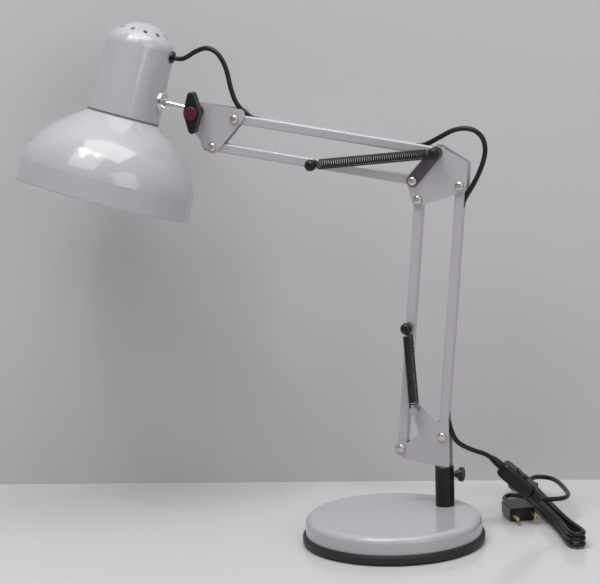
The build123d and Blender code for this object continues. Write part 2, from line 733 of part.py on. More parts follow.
def cap_body(shrink):
    """The cap's solid form drawn in by the wall: tapered side, shoulder arc, crown arc."""
    inset = CAP_TOP_R - CAP_SHOULDER_R
    room = CAP_HEIGHT - CAP_SIDE - CAP_SHOULDER_R
    drop = (inset ** 2 - room ** 2) / (2 * room)
    crown = CAP_HEIGHT - CAP_SIDE + drop
    lean = atan2(drop, inset)
    shoulder_r, crown_r = CAP_SHOULDER_R - shrink, crown - shrink
    meet = (crown_r * cos(lean), CAP_SIDE - drop + crown_r * sin(lean))
    side = Polyline((0, 0), (CAP_R - shrink, 0), (CAP_TOP_R - shrink, CAP_SIDE))
    half = (inset + shoulder_r * cos(lean / 2), CAP_SIDE + shoulder_r * sin(lean / 2))
    shoulder = ThreePointArc((CAP_TOP_R - shrink, CAP_SIDE), half, meet)
    mid = (lean + pi / 2) / 2
    dome = ThreePointArc(meet, (crown_r * cos(mid), CAP_SIDE - drop + crown_r * sin(mid)), (0, CAP_HEIGHT - shrink))
    spine = Line((0, CAP_HEIGHT - shrink), (0, 0))
    return revolve(Plane.XZ * make_face(Curve() + [side, shoulder, dome, spine]), Axis.Z)


def lamp_cap():
    cap = cap_body(0) - cap_body(CAP_WALL)
    cap -= outward(JOINT_RING_R, BALL_OFFSET - 2, CAP_R + 4, BALL_RISE)
    cap -= outward(GROMMET_R, CAP_TOP_R - 6, CAP_R + 4, GROMMET_RISE)
    for i in range(VENT_COUNT):
        vent = Rot(0, 0, VENT_PHASE + 360 * i / VENT_COUNT) * Pos(VENT_CIRCLE, 0, CAP_HEIGHT - 8)
        cap -= vent * Cylinder(VENT_R, 24)
    return head_frame() * cap


def seat_radius(reach):
    """Radius of the ball's seat at a reach from the ball's centre."""
    return sqrt((BALL_R + RUNNING) ** 2 - reach ** 2)


def joint_ring():
    """The chrome ring in the cap's side; its mouth holds the ball and flares for the rod's swing."""
    back, throat, face = JOINT_SPLIT, JOINT_THROAT, JOINT_FACE - BALL_OFFSET
    middle = (back + throat) / 2
    seat = ThreePointArc((throat, seat_radius(throat)), (middle, seat_radius(middle)), (back, seat_radius(back)))
    rest = Polyline((back, seat_radius(back)), (back, JOINT_RING_R), (face - 0.8, JOINT_RING_R), (face, JOINT_RING_R - 0.8),
                    (face, JOINT_FLARE_R), (throat, seat_radius(throat)))
    ring = revolve(make_face(Curve() + [seat, rest]), Axis.X)
    return head_frame() * Pos(BALL_OFFSET, 0, BALL_RISE) * ring


def joint_retainer():
    """The cup behind the ball."""
    cup = outward(JOINT_RING_R - 1.0, BALL_OFFSET - BALL_R - 3.0, BALL_OFFSET + JOINT_SPLIT, BALL_RISE)
    return head_frame() * (cup - Pos(BALL_OFFSET, 0, BALL_RISE) * Sphere(BALL_R + RUNNING))


def seam_ring():
    ring = rise(CAP_R - 0.5, SEAM_HEIGHT, -SEAM_HEIGHT) - rise(HOLDER_FLANGE_R + 3.0, SEAM_HEIGHT, -SEAM_HEIGHT)
    return head_frame() * ring


def drawn_in(points, wall):
    """The points moved in by the wall, square to the line through their neighbours."""
    moved = []
    for i, (down, radius) in enumerate(points):
        a = points[max(i - 1, 0)]
        b = points[min(i + 1, len(points) - 1)]
        run = hypot(b[0] - a[0], b[1] - a[1])
        moved.append((down + wall * (b[1] - a[1]) / run, radius - wall * (b[0] - a[0]) / run))
    return moved


def shade():
    top = SEAM_HEIGHT
    outer = [(r, -d) for d, r in SHADE_PROFILE]
    inner = [(r, -d) for d, r in drawn_in(SHADE_PROFILE, SHADE_WALL)]
    inner[0] = (inner[0][0], -top - SHADE_WALL)
    inner[-1] = (inner[-1][0], outer[-1][1])
    outside = [Line((SHADE_PROFILE[0][1], -top), outer[0]), Spline(*outer[:-1]), Line(outer[-2], outer[-1])]
    edge = [Line(outer[-1], inner[-1])]
    inside = [Line(inner[-1], inner[-2]), Spline(*inner[:-1][::-1])]
    lid = [Polyline(inner[0], (SHADE_NECK_HOLE, -top - SHADE_WALL), (SHADE_NECK_HOLE, -top), (SHADE_PROFILE[0][1], -top))]
    shell = revolve(Plane.XZ * make_face(Curve() + outside + edge + inside + lid), Axis.Z)
    bead = Pos(0, 0, -SHADE_PROFILE[-1][0]) * Torus(SHADE_PROFILE[-1][1] - RIM_BEAD, RIM_BEAD)
    return head_frame() * (shell + bead)


def lampholder():
    flange_top = 1.5
    body = rise(HOLDER_R, HOLDER_LENGTH, HOLDER_TOP - HOLDER_LENGTH)
    body += rise(HOLDER_FLANGE_R, SEAM_HEIGHT + flange_top, -SEAM_HEIGHT)
    body -= rise(HOLDER_R - 2.4, HOLDER_LENGTH - 4.0, HOLDER_TOP - HOLDER_LENGTH)
    body -= rise(CABLE_R + 0.4, 4.0, HOLDER_TOP - 4.0)
    return head_frame() * body


def holder_ring():
    low = -SEAM_HEIGHT - SHADE_WALL - 5.0
    ring = rise(HOLDER_FLANGE_R, 5.0, low) - rise(HOLDER_R, 5.0, low)
    for i in range(12):
        ring -= Rot(0, 0, 30 * i) * Pos(HOLDER_FLANGE_R + 0.8, 0, low + 2.5) * Cylinder(1.6, 6)
    return head_frame() * ring


def holder_shell():
    """The brass screw shell and its end contact."""
    top = HOLDER_TOP - 4.0
    outer = HOLDER_R - 2.4
    shell = rise(outer, SHELL_LENGTH, top - SHELL_LENGTH) - rise(outer - 0.5, SHELL_LENGTH, top - SHELL_LENGTH)
    lid = rise(outer, 0.6, top - 0.6) + rise(4.0, 3.0, top - 3.0)
    return head_frame() * (shell + lid)


def bulb():
    """A screw-cap bulb: round glass drawn in to a neck, and the cap up to the shell's contact."""
    top = HOLDER_TOP - 7.0
    shoulder = top - BULB_BASE_LENGTH
    centre = shoulder - BULB_NECK - BULB_R * BULB_SINE
    wide = BULB_R * sqrt(1 - BULB_SINE ** 2)
    neck = Cone(wide, BULB_NECK_R, BULB_NECK, align=(Align.CENTER, Align.CENTER, Align.MIN))
    glass = Pos(0, 0, centre) * Sphere(BULB_R) + Pos(0, 0, shoulder - BULB_NECK) * neck
    return head_frame() * (glass + rise(BULB_NECK_R, BULB_BASE_LENGTH, shoulder))


def cable_grommet():
    body = outward(GROMMET_R, CAP_TOP_R - 3.0, GROMMET_FACE, GROMMET_RISE)
    flange = outward(GROMMET_FLANGE_R, CAP_TOP_R - 1.5, CAP_TOP_R + 2.2, GROMMET_RISE) - cap_body(0)
    return head_frame() * (body + flange)


JOINT_SPLIT = 2.1           # from the ball's centre to the ring's back face
JOINT_THROAT = 3.0
JOINT_FLARE_R = 7.7
JOINT_FACE = CAP_R + 1.5
GROMMET_R = 4.2
GROMMET_FACE = 39.0
HOLDER_FLANGE_R = 24.0
HOLDER_TOP = 8.0
SHELL_LENGTH = 27.0
BULB_NECK_R = 13.3
BULB_BASE_LENGTH = 26.0
BULB_NECK = 14.0
BULB_SINE = 0.72


# ---- cables --------------------------------------------------------------------------------
def turn_at(before, corner, after):
    return radians((corner - before).get_angle(after - corner))


def bend_radii(points):
    """The largest arc that each corner's two runs allow."""
    radii = []
    for before, corner, after in zip(points, points[1:], points[2:]):
        shorter = min((corner - before).length, (after - corner).length)
        radii.append(0.45 * shorter / tan(turn_at(before, corner, after) / 2))
    return radii


def cord(points, radius, name):
    """A round cord along straight runs joined by tangent arcs."""
    points = [Vector(p) for p in points]
    radii = bend_radii(points)
    path = FilletPolyline(*points, radius=radii)
    solid = sweep(Plane(origin=path @ 0, z_dir=path % 0) * Circle(radius), path=path)
    share = solid.volume / (pi * radius ** 2 * path.length)
    print(name, "length %.0f" % path.length, "volume share %.4f" % share, "radii", [round(r, 1) for r in radii])
    return solid


def upper_bar_cable():
    route = [bar_point(U2, UPPER_RISE, s, t) for s, t in UPPER_CABLE]
    return cord([at(uv) for uv in route], CABLE_R, "upper_bar_cable")


def lower_bar_cable():
    route = [bar_point(P2, LOWER_ANGLE, s, t) for s, t in LOWER_CABLE]
    return cord([at(uv) for uv in route], CABLE_R, "lower_bar_cable")


def run_out(p, angle, route, end):
    """The end of a bar's cable and a point straight on from it."""
    last, inner = (route[0], route[1]) if end == 0 else (route[-1], route[-2])
    tip = bar_point(p, angle, *last)
    back = bar_point(p, angle, *inner)
    step = hypot(tip[0] - back[0], tip[1] - back[1])
    return tip, ((tip[0] - back[0]) / step, (tip[1] - back[1]) / step)


def onward(tip, way, length):
    return (tip[0] + way[0] * length, tip[1] + way[1] * length)


def elbow_cable_loop():
    tip, way = run_out(U2, UPPER_RISE, UPPER_CABLE, 0)
    foot, down = run_out(P2, LOWER_ANGLE, LOWER_CABLE, 1)
    route = [tip, onward(tip, way, 7.5)] + [add(U2, step) for step in ELBOW_LOOP] + [onward(foot, down, 9.0), foot]
    return cord([at(uv) for uv in route], CABLE_R, "elbow_cable_loop")


def head_cable_loop():
    tip, way = run_out(U2, UPPER_RISE, UPPER_CABLE, 1)
    gland = head_point(GROMMET_FACE, GROMMET_RISE)
    first = head_point(GROMMET_FACE + 7.0, GROMMET_RISE)
    over = [at(add(V2, step), side) for *step, side in HEAD_LOOP]
    route = [gland, first] + over + [at(onward(tip, way, 10.5)), at(tip)]
    return cord(route, CABLE_R, "head_cable_loop")


def supply_cord():
    tip, way = run_out(P2, LOWER_ANGLE, LOWER_CABLE, 0)
    start = SWITCH_A - SWITCH_WAY * 13.0
    route = [at(tip), at(onward(tip, way, 8.0))] + [Vector(*p) for p in STRETCH] + [start, SWITCH_A]
    return cord(route, CABLE_R, "supply_cord")


UPPER_CABLE = ((5.0, 11.5), (20.5, 0.0), (UPPER_LENGTH - 21.1, 0.0), (UPPER_LENGTH - 7.0, 8.5))
LOWER_CABLE = ((4.5, 8.3), (22.0, 0.0), (LOWER_LENGTH - 21.3, 0.0), (LOWER_LENGTH - 4.4, 9.0))
ELBOW_LOOP = [(-13.4, 21.3), (-25.9, 24.3), (-38.4, 22.3), (-47.2, 13.2), (-48.6, -0.8), (-43.6, -16.3)]    # from the top bar's rear pivot
HEAD_LOOP = [(56.6, 62.0, -8.2), (45.3, 69.0, -7.0), (31.3, 73.0, -5.4), (18.6, 66.2, -3.6), (9.8, 50.1, -1.8), (6.2, 32.1, -0.6)]    # from the top bar's head pivot, and aside
SWITCH_A = Vector(85.2, 88.5, 64.7)
SWITCH_B = Vector(126.5, 92.7, 29.6)
SWITCH_WAY = (SWITCH_B - SWITCH_A).normalized()
STRETCH = [(57.0, 53.0, 90.3), (66.5, 68.0, 81.0)]


# ---- in-line switch ------------------------------------------------------------------------
def switch_frame():
    """x along the cord, z square to it and upward."""
    middle = (SWITCH_A + SWITCH_B) * 0.5
    side = Vector(0, 0, 1).cross(SWITCH_WAY).normalized()
    return Plane(origin=middle, x_dir=SWITCH_WAY, z_dir=SWITCH_WAY.cross(side))


def switch_half(low, high):
    """Half the case: a slab with rounded ends, and half of each cord neck."""
    length = SWITCH_SPAN - 2 * SWITCH_NECK
    body = extrude(Pos(0, 0, low) * RectangleRounded(length, SWITCH_WIDTH, SWITCH_WIDTH * 0.36), high - low)
    neck = Pos(0, 0, 0) * Rot(0, 90, 0) * Cylinder(SWITCH_NECK_R, SWITCH_SPAN)
    keep = Pos(0, 0, (low + high) / 2) * Box(SWITCH_SPAN, SWITCH_WIDTH, high - low)
    return body + (neck & keep)


def switch_base():
    half = switch_half(-SWITCH_HEIGHT / 2, 0)
    half = fillet(half.faces().sort_by(Axis.Z)[0].edges(), SWITCH_ROUND)
    return switch_frame() * half


def switch_cover():
    half = switch_half(0, SWITCH_HEIGHT / 2)
    half = fillet(half.faces().sort_by(Axis.Z)[-1].edges(), SWITCH_ROUND)
    well = Pos(0, 0, ROCKER_FLOOR - 0.6) * extrude(Rectangle(2 * ROCKER_HALF + 2.4, ROCKER_WIDTH + 0.6), SWITCH_HEIGHT)
    pivot = Pos(0, 0, ROCKER_PIVOT) * Rot(90, 0, 0) * Cylinder(ROCKER_PIN_R + RUNNING, ROCKER_WIDTH + 4.0)
    return switch_frame() * (half - well - pivot)


def switch_rocker():
    top = SWITCH_HEIGHT / 2
    points = [(-ROCKER_HALF, ROCKER_FLOOR + 1.2), (-ROCKER_HALF, top + 1.6), (0, top + 0.4), (ROCKER_HALF, top + 1.6)]
    points += [(ROCKER_HALF, ROCKER_FLOOR + 1.2), (2.0, ROCKER_FLOOR + 0.2), (-2.0, ROCKER_FLOOR + 0.2)]
    profile = Plane.XZ * make_face(Polyline(points, close=True))
    rocker = extrude(profile, ROCKER_WIDTH / 2, both=True)
    rocker += Pos(0, 0, ROCKER_PIVOT) * Rot(90, 0, 0) * Cylinder(ROCKER_PIN_R, ROCKER_WIDTH + 3.4)
    return switch_frame() * rocker


SWITCH_SPAN = (SWITCH_B - SWITCH_A).length
SWITCH_NECK = 5.0
SWITCH_ROUND = 4.0
SWITCH_NECK_R = 4.2
ROCKER_HALF = 6.4
ROCKER_WIDTH = 9.0
ROCKER_FLOOR = 1.6
ROCKER_PIVOT = 5.0
ROCKER_PIN_R = 1.2


# ---- hank, tie and plug --------------------------------------------------------------------
HANK_TIE = (101.0, 168.0)       # centre of the tie on the table
HANK_WAY = (0.5, -sqrt(0.75))   # toward the near end
TIE_THICK = 0.8
TIE_WIDTH = 5.0
WAIST = CABLE_R + 0.45          # half the spacing of the two columns at the tie
HANK_FLOOR = CABLE_R + TIE_THICK + 0.3
NEAR_REACH = 176.0
NEAR_R = 9.0
FAR_REACH = 62.0
FAR_R = 14.0
PLUG_START = 22.0
PLUG_SIDE = -27.0
PLUG_LENGTH = 38.0
PLUG_WIDTH = 27.0
PLUG_THICK = 13.8
PLUG_HEIGHT = 7.2
PLUG_PIN_R = 2.0
PLUG_PIN_LENGTH = 19.0
PLUG_PIN_SPACING = 19.0


def hank_frame():
    return Plane(origin=(HANK_TIE[0], HANK_TIE[1], 0), x_dir=(HANK_WAY[0], HANK_WAY[1], 0), z_dir=(0, 0, 1))


def hank_local(point):
    """A point of the table frame in the hank's: along, across to the right, up."""
    dx, dy = point.X - HANK_TIE[0], point.Y - HANK_TIE[1]
    return Vector(dx * HANK_WAY[0] + dy * HANK_WAY[1], dy * HANK_WAY[0] - dx * HANK_WAY[1], point.Z)


def hank_turn(way):
    return Vector(way.X * HANK_WAY[0] + way.Y * HANK_WAY[1], way.Y * HANK_WAY[0] - way.X * HANK_WAY[1], way.Z)


def hank_knots():
    """From the switch over and round to the far side, down through the layers, and out to the plug."""
    near, far = Vector(1, 0, 0), Vector(-1, 0, 0)
    right, left = Vector(0, 1, 0), Vector(0, -1, 0)
    top = HANK_FLOOR + HANK_LAYERS * HANK_PITCH
    start, way = hank_local(SWITCH_B), hank_turn(SWITCH_WAY)
    knots = [(start, way), (start + way * CABLE_R, way)]
    knots.append((Vector(start.X - 3, 22.0, top + 4.6), Vector(-0.75, 0.65, -0.12).normalized()))
    knots.append((Vector(10, RING_SIDE, top + 1.0), Vector(-1, 0.0, -0.05).normalized()))
    knots.append((Vector(-25, RING_SIDE, top), far))
    back = (RING_SIDE - WAIST) / 2
    knots.append((Vector(-25 - back, WAIST + back, top), left))
    knots.append((Vector(-25, WAIST, top), near))
    knots.append((Vector(-10, WAIST, top), near))
    high = top
    for layer in range(HANK_LAYERS):
        z = high - HANK_PITCH
        knots.append((Vector(NEAR_REACH - 58, WAIST, z), near))
        knots.append((Vector(NEAR_REACH - NEAR_R, NEAR_R, z), near))
        knots.append((Vector(NEAR_REACH, 0, z), left))
        knots.append((Vector(NEAR_REACH - NEAR_R, -NEAR_R, z), far))
        knots.append((Vector(NEAR_REACH - 58, -WAIST, z), far))
        knots.append((Vector(-10, -WAIST, z), far))
        if layer < HANK_LAYERS - 1:
            knots.append((Vector(FAR_R - FAR_REACH, -FAR_R, z), far))
            knots.append((Vector(-FAR_REACH, 0, z), right))
            knots.append((Vector(FAR_R - FAR_REACH, FAR_R, z), near))
            knots.append((Vector(-10, WAIST, z), near))
        high = z
    turn = (-PLUG_SIDE - WAIST) / 2
    knots.append((Vector(-20, -WAIST, high), far))
    knots.append((Vector(-20 - turn, -WAIST - turn, high), left))
    knots.append((Vector(-20, PLUG_SIDE, high), near))
    knots.append((Vector(PLUG_START - 2 * CABLE_R, PLUG_SIDE, PLUG_HEIGHT), near))
    knots.append((Vector(PLUG_START, PLUG_SIDE, PLUG_HEIGHT), near))
    return knots


RING_SIDE = 31.0


def cord_hank():
    edges = arcs_through(hank_knots())
    length = sum(edge.length for edge in edges)
    solid = tube(edges, CABLE_R)
    share = solid.volume / (pi * CABLE_R ** 2 * length)
    print("cord_hank loops", HANK_LAYERS, "length %.0f" % length, "volume share %.4f" % share,
          "least gap %.2f" % least_gap(edges, 2 * CABLE_R, 8 * CABLE_R))
    return hank_frame() * solid


def hank_tie():
    """A flat band round the waist of the hank."""
    half = WAIST + CABLE_R + 0.35
    low = TIE_THICK
    high = HANK_FLOOR + HANK_LAYERS * HANK_PITCH + CABLE_R + 0.3
    outer = Rectangle(2 * (half + TIE_THICK), high - low + 2 * TIE_THICK)
    inner = Rectangle(2 * half, high - low)
    ring = fillet(outer.vertices(), 1.6) - fillet(inner.vertices(), 0.9)
    band = extrude(Plane.YZ * Pos(0, (low + high) / 2) * ring, TIE_WIDTH / 2, both=True)
    return hank_frame() * band


def plug_body():
    body = Pos(PLUG_START + PLUG_LENGTH / 2, PLUG_SIDE, PLUG_HEIGHT) * Box(PLUG_LENGTH, PLUG_WIDTH, PLUG_THICK)
    body = chamfer(body.edges().filter_by(Axis.Z).sort_by(Axis.X)[:2], 8.0, 6.0)
    body = fillet(body.edges().filter_by(Axis.Z, reverse=True).filter_by(lambda e: e.center().X < PLUG_START + PLUG_LENGTH - 1), 2.0)
    for hole in plug_pin_places():
        body -= hole * pin_stick(-6.0)
    return hank_frame() * body


def plug_pin_places():
    reach = PLUG_START + PLUG_LENGTH
    return [Pos(reach, PLUG_SIDE + side, PLUG_HEIGHT) for side in (-PLUG_PIN_SPACING / 2, PLUG_PIN_SPACING / 2)]


def pin_stick(start):
    stick = Cylinder(PLUG_PIN_R, PLUG_PIN_LENGTH - start, align=(Align.CENTER, Align.CENTER, Align.MIN))
    return Pos(start, 0, 0) * Rot(0, 90, 0) * stick


def plug_pins():
    pins = []
    for place in plug_pin_places():
        stick = pin_stick(-6.0)
        stick = fillet(stick.edges().filter_by(GeomType.CIRCLE).sort_by(Axis.X)[-1], 1.2)
        pins.append(place * stick)
    return hank_frame() * group(pins)


# ---- write every piece ---------------------------------------------------------------------
PIECES = [
    base_cover, base_weight, base_ring, base_plate, base_plate_screws, socket_tube, socket_nut,
    thumb_screw, turret_pin, lower_bracket, lower_bracket_bolts, lower_bracket_nuts, spring_hook_pin,
    lower_rear_bar, lower_front_bar, elbow_plates, elbow_straps, elbow_bolts, elbow_nuts, elbow_spring_pin,
    upper_top_bar, upper_low_bar, head_bracket, head_bracket_bolts, head_bracket_nuts, wing_bolt,
    wing_nut, wing_nut_button, friction_washers, head_rod, head_ball, lamp_cap, joint_ring,
    joint_retainer, seam_ring, shade, lampholder, holder_ring, holder_shell, bulb,
    cable_grommet, upper_bar_cable, lower_bar_cable, elbow_cable_loop, head_cable_loop, supply_cord,
    switch_base, switch_cover, switch_rocker, cord_hank, hank_tie, plug_body, plug_pins,
]


def main():
    os.makedirs("parts", exist_ok=True)
    for piece in PIECES:
        put(piece(), piece.__name__)
    put(spring(LOWER_STUD, HOOK, LOWER_TURNS, "lower_spring"), "lower_spring")
    put(spring(U2, UPPER_STUD, UPPER_TURNS, "upper_spring"), "upper_spring")
    put(spring_stud(LOWER_STUD), "lower_spring_stud")
    put(stud_cap(LOWER_STUD), "lower_spring_cap")
    put(spring_stud(UPPER_STUD), "upper_spring_stud")
    put(stud_cap(UPPER_STUD), "upper_spring_cap")
    put(stud_cap(U2), "elbow_cap")


if __name__ == "__main__":
    main()
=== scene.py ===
"""Spring-balanced desk lamp: looks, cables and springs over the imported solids."""
import logging
from dataclasses import dataclass, field
from enum import Enum
from math import cos, hypot, pi, radians, sin, sqrt

import bmesh
import bpy
from mathutils import Matrix, Vector


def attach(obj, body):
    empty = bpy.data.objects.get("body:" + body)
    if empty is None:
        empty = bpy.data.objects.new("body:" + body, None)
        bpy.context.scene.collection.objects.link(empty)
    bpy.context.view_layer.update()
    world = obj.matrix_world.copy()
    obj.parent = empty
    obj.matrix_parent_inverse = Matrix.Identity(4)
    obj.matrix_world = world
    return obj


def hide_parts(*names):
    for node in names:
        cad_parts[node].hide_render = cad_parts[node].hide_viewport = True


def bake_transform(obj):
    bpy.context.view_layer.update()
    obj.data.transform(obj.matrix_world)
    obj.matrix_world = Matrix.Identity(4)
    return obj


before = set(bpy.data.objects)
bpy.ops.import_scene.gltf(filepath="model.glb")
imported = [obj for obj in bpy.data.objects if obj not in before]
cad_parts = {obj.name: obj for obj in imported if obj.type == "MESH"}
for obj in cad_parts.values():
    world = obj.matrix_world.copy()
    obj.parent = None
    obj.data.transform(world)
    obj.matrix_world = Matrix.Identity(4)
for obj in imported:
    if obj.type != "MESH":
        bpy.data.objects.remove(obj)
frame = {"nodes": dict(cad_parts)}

LOG = logging.getLogger("desk_lamp")
NODES = frame["nodes"]
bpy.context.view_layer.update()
MM = 0.001
SENSOR = 36.0
SHORTEST_CORD = 0.0301      # metres; a shorter stretch only stands for its node
RIB = 0.55


# ---- places on the lamp ----------------------------------------------------------------------
@dataclass(frozen=True)
class ArmPlane:
    """The upright plane the two arms move in, as millimetres forward of the post and above the table."""
    post_x: float = 40.757
    post_y: float = 46.721

    def at(self, u: float, v: float, side: float = 0.0) -> Vector:
        """A point of the plane, or beside it toward the wing nut.

        Args:
            u: Forward of the post, toward the head.
            v: Above the table.
            side: Out of the plane toward the wing nut.

        Returns:
            The point in metres.
        """
        return Vector((self.post_x - u, self.post_y - side, v)) * MM

    def along(self, foot: tuple[float, float], angle: float, reach: float,
              out: float = 0.0) -> tuple[float, float]:
        """A point along a bar.

        Args:
            foot: The bar's pivot.
            angle: The bar's angle above forward, in degrees.
            reach: Distance along the bar.
            out: Distance square to it.

        Returns:
            The point as (u, v).
        """
        c, s = cos(radians(angle)), sin(radians(angle))
        return foot[0] + reach * c - out * s, foot[1] + reach * s + out * c


PLANE = ArmPlane()
LOWER_REAR_PIVOT = (0.0, 101.0)
LOWER_FRONT_PIVOT = (43.7, 86.3)
LOWER_ANGLE = 95.0
UPPER_TOP_PIVOT = (0.427, 392.314)
UPPER_LOW_PIVOT = (25.927, 363.414)
UPPER_ANGLE = 8.2
SPRING_HOOK = (26.5, 128.4)
UPPER_TOP_END = (216.198, 423.407)
BALL = (304.318, 441.478)
ROD_RISE = 12.0
SEAM = (341.518, 425.566)
HEAD_LEAN = 13.4
HEAD_SWIVEL = 10.8


def head_point(out: float, up: float, side: float = 0.0) -> Vector:
    """A point in the lamp head's own directions, the head being turned about its rod.

    Args:
        out: From the head's axis toward the arms.
        up: Above the seam, along the axis.
        side: Across, away from the wing nut.

    Returns:
        The point in metres.
    """
    lean, rise = radians(HEAD_LEAN), radians(ROD_RISE)
    turn = Matrix.Rotation(radians(HEAD_SWIVEL), 3, Vector((-cos(rise), 0.0, sin(rise))))
    step = Vector((cos(lean), 0.0, -sin(lean))) * out + Vector((0.0, side,
            0.0)) + Vector((sin(lean), 0.0, cos(lean))) * up
    return PLANE.at(*BALL) + turn @ (PLANE.at(*SEAM) - PLANE.at(*BALL) + step * MM)


# ---- node groups -----------------------------------------------------------------------------
def new_group(name: str, inputs: dict[str, tuple], outputs: dict[str, str]) -> bpy.types.NodeTree:
    """An empty shader node group with named sockets.

    Args:
        name: The group's name.
        inputs: Socket names with (kind, default).
        outputs: Socket names with kinds.

    Returns:
        The group, with its input and output nodes named In and Out.
    """
    group = bpy.data.node_groups.new(name, "ShaderNodeTree")
    for key, (kind, default) in inputs.items():
        socket = group.interface.new_socket(key, in_out="INPUT", socket_type="NodeSocket" + kind)
        socket.default_value = default
    for key, kind in outputs.items():
        group.interface.new_socket(key, in_out="OUTPUT", socket_type="NodeSocket" + kind)
    group.nodes.new("NodeGroupInput").name = "In"
    group.nodes.new("NodeGroupOutput").name = "Out"
    return group


class Wiring:
    """Short calls for adding and joining nodes in one tree."""

    def __init__(self, tree: bpy.types.NodeTree) -> None:
        """Keeps the tree."""
        self.tree = tree

    def add(self, kind: str, **settings) -> bpy.types.Node:
        """A node with its settings and unlinked input values.

        Args:
            kind: The node's type, without ShaderNode.
            settings: Attributes, or inputs where the name is one, with _ for a space.

        Returns:
            The node.
        """
        node = self.tree.nodes.new("ShaderNode" + kind)
        for key, value in settings.items():
            name = key.replace("_", " ")
            if name in node.inputs:
                node.inputs[name].default_value = value
            else:
                setattr(node, key, value)
        return node

    def join(self, source: bpy.types.NodeSocket, target: bpy.types.NodeSocket) -> None:
        """Links one socket to another."""
        self.tree.links.new(source, target)

    def maths(self, operation: str, a, b=None) -> bpy.types.NodeSocket:
        """A Math node.

        Args:
            operation: The operation's name.
            a: First value or socket.
            b: Second value or socket.

        Returns:
            Its output socket.
        """
        node = self.tree.nodes.new("ShaderNodeMath")
        node.operation = operation
        for place, value in enumerate((a, b)):
            if isinstance(value, bpy.types.NodeSocket):
                self.join(value, node.inputs[place])
            elif value is not None:
                node.inputs[place].default_value = value
        return node.outputs[0]

    def mix(self, factor, a, b) -> bpy.types.NodeSocket:
        """A colour mix.

        Args:
            factor: Share of b, as a value or socket.
            a: First colour or socket.
            b: Second colour or socket.

        Returns:
            Its colour socket.
        """
        node = self.tree.nodes.new("ShaderNodeMix")
        node.data_type = "RGBA"
        for place, value in ((0, factor), (6, a), (7, b)):
            if isinstance(value, bpy.types.NodeSocket):
                self.join(value, node.inputs[place])
            else:
                node.inputs[place].default_value = value
        return node.outputs[2]


def grey(colour: tuple[float, float, float], factor: float = 1.0) -> tuple[float, float, float,
        float]:
    """A colour made lighter or darker, with full alpha."""
    return (colour[0] * factor, colour[1] * factor, colour[2] * factor, 1.0)


def build_surface_group() -> bpy.types.NodeTree:
    """Mottle, fine grain and settled dust, shared by every finish.

    Returns:
        The node group.
    """
    inputs = {
        "Color": ("Color", (0.8, 0.8, 0.8, 1)), "Shade": ("Color",
                (0.6, 0.6, 0.6, 1)), "Dust": ("Color", (0.6, 0.58, 0.55, 1)),
        "Patch Scale": ("Float", 20.0), "Grain Scale": ("Float", 900.0), "Dust Amount": ("Float",
                0.1),
        "Roughness": ("Float", 0.3), "Roughness Spread": ("Float", 0.1), "Mottle": ("Float", 0.3),
    }
    group = new_group("worn surface", inputs,
                      {"Color": "Color", "Roughness": "Float", "Height": "Float"})
    w = Wiring(group)
    entry, leave = group.nodes["In"].outputs, group.nodes["Out"].inputs
    place = w.add("TexCoord").outputs["Object"]
    patch = w.add("TexNoise", Detail=5.0, Roughness=0.6)
    grain = w.add("TexNoise", Detail=3.0, Roughness=0.5)
    speck = w.add("TexNoise", Scale=2600.0, Detail=2.0)
    for noise in (patch, grain, speck):
        w.join(place, noise.inputs["Vector"])
    w.join(entry["Patch Scale"], patch.inputs["Scale"])
    w.join(entry["Grain Scale"], grain.inputs["Scale"])
    clouds = w.add("ValToRGB")
    clouds.color_ramp.elements[0].position = 0.35
    clouds.color_ramp.elements[1].position = 0.70
    w.join(patch.outputs["Fac"], clouds.inputs["Fac"])
    share = w.maths("MULTIPLY", clouds.outputs["Color"], entry["Mottle"])
    body = w.mix(share, entry["Color"], entry["Shade"])
    up = w.add("SeparateXYZ")
    w.join(w.add("NewGeometry").outputs["Normal"], up.inputs[0])
    facing = w.maths("MAXIMUM", up.outputs["Z"], 0.0)
    settled = w.maths("MULTIPLY", w.maths("POWER", facing, 3.0), entry["Dust Amount"])
    settled = w.maths("MULTIPLY", settled, w.maths("MULTIPLY", speck.outputs["Fac"], 1.6))
    w.join(w.mix(settled, body, entry["Dust"]), leave["Color"])
    swing = w.maths("MULTIPLY", w.maths("SUBTRACT", patch.outputs["Fac"], 0.5),
                    entry["Roughness Spread"])
    rough = w.maths("ADD", w.maths("ADD", entry["Roughness"], swing),
                    w.maths("MULTIPLY", settled, 0.5))
    w.join(rough, leave["Roughness"])
    w.join(w.maths("ADD", grain.outputs["Fac"], w.maths("MULTIPLY", patch.outputs["Fac"], 0.4)),
           leave["Height"])
    return group


def build_brush_group() -> bpy.types.NodeTree:
    """Fine drawn lines, for bare metal.

    Returns:
        The node group.
    """
    group = new_group("drawn lines", {"Stretch": ("Vector", (900.0, 60.0, 900.0))},
                      {"Lines": "Float"})
    w = Wiring(group)
    scale = w.add("Mapping")
    w.join(w.add("TexCoord").outputs["Object"], scale.inputs["Vector"])
    w.join(group.nodes["In"].outputs["Stretch"], scale.inputs["Scale"])
    noise = w.add("TexNoise", Scale=1.0, Detail=3.0)
    w.join(scale.outputs["Vector"], noise.inputs["Vector"])
    w.join(noise.outputs["Fac"], group.nodes["Out"].inputs["Lines"])
    return group


SURFACE = build_surface_group()
BRUSH = build_brush_group()


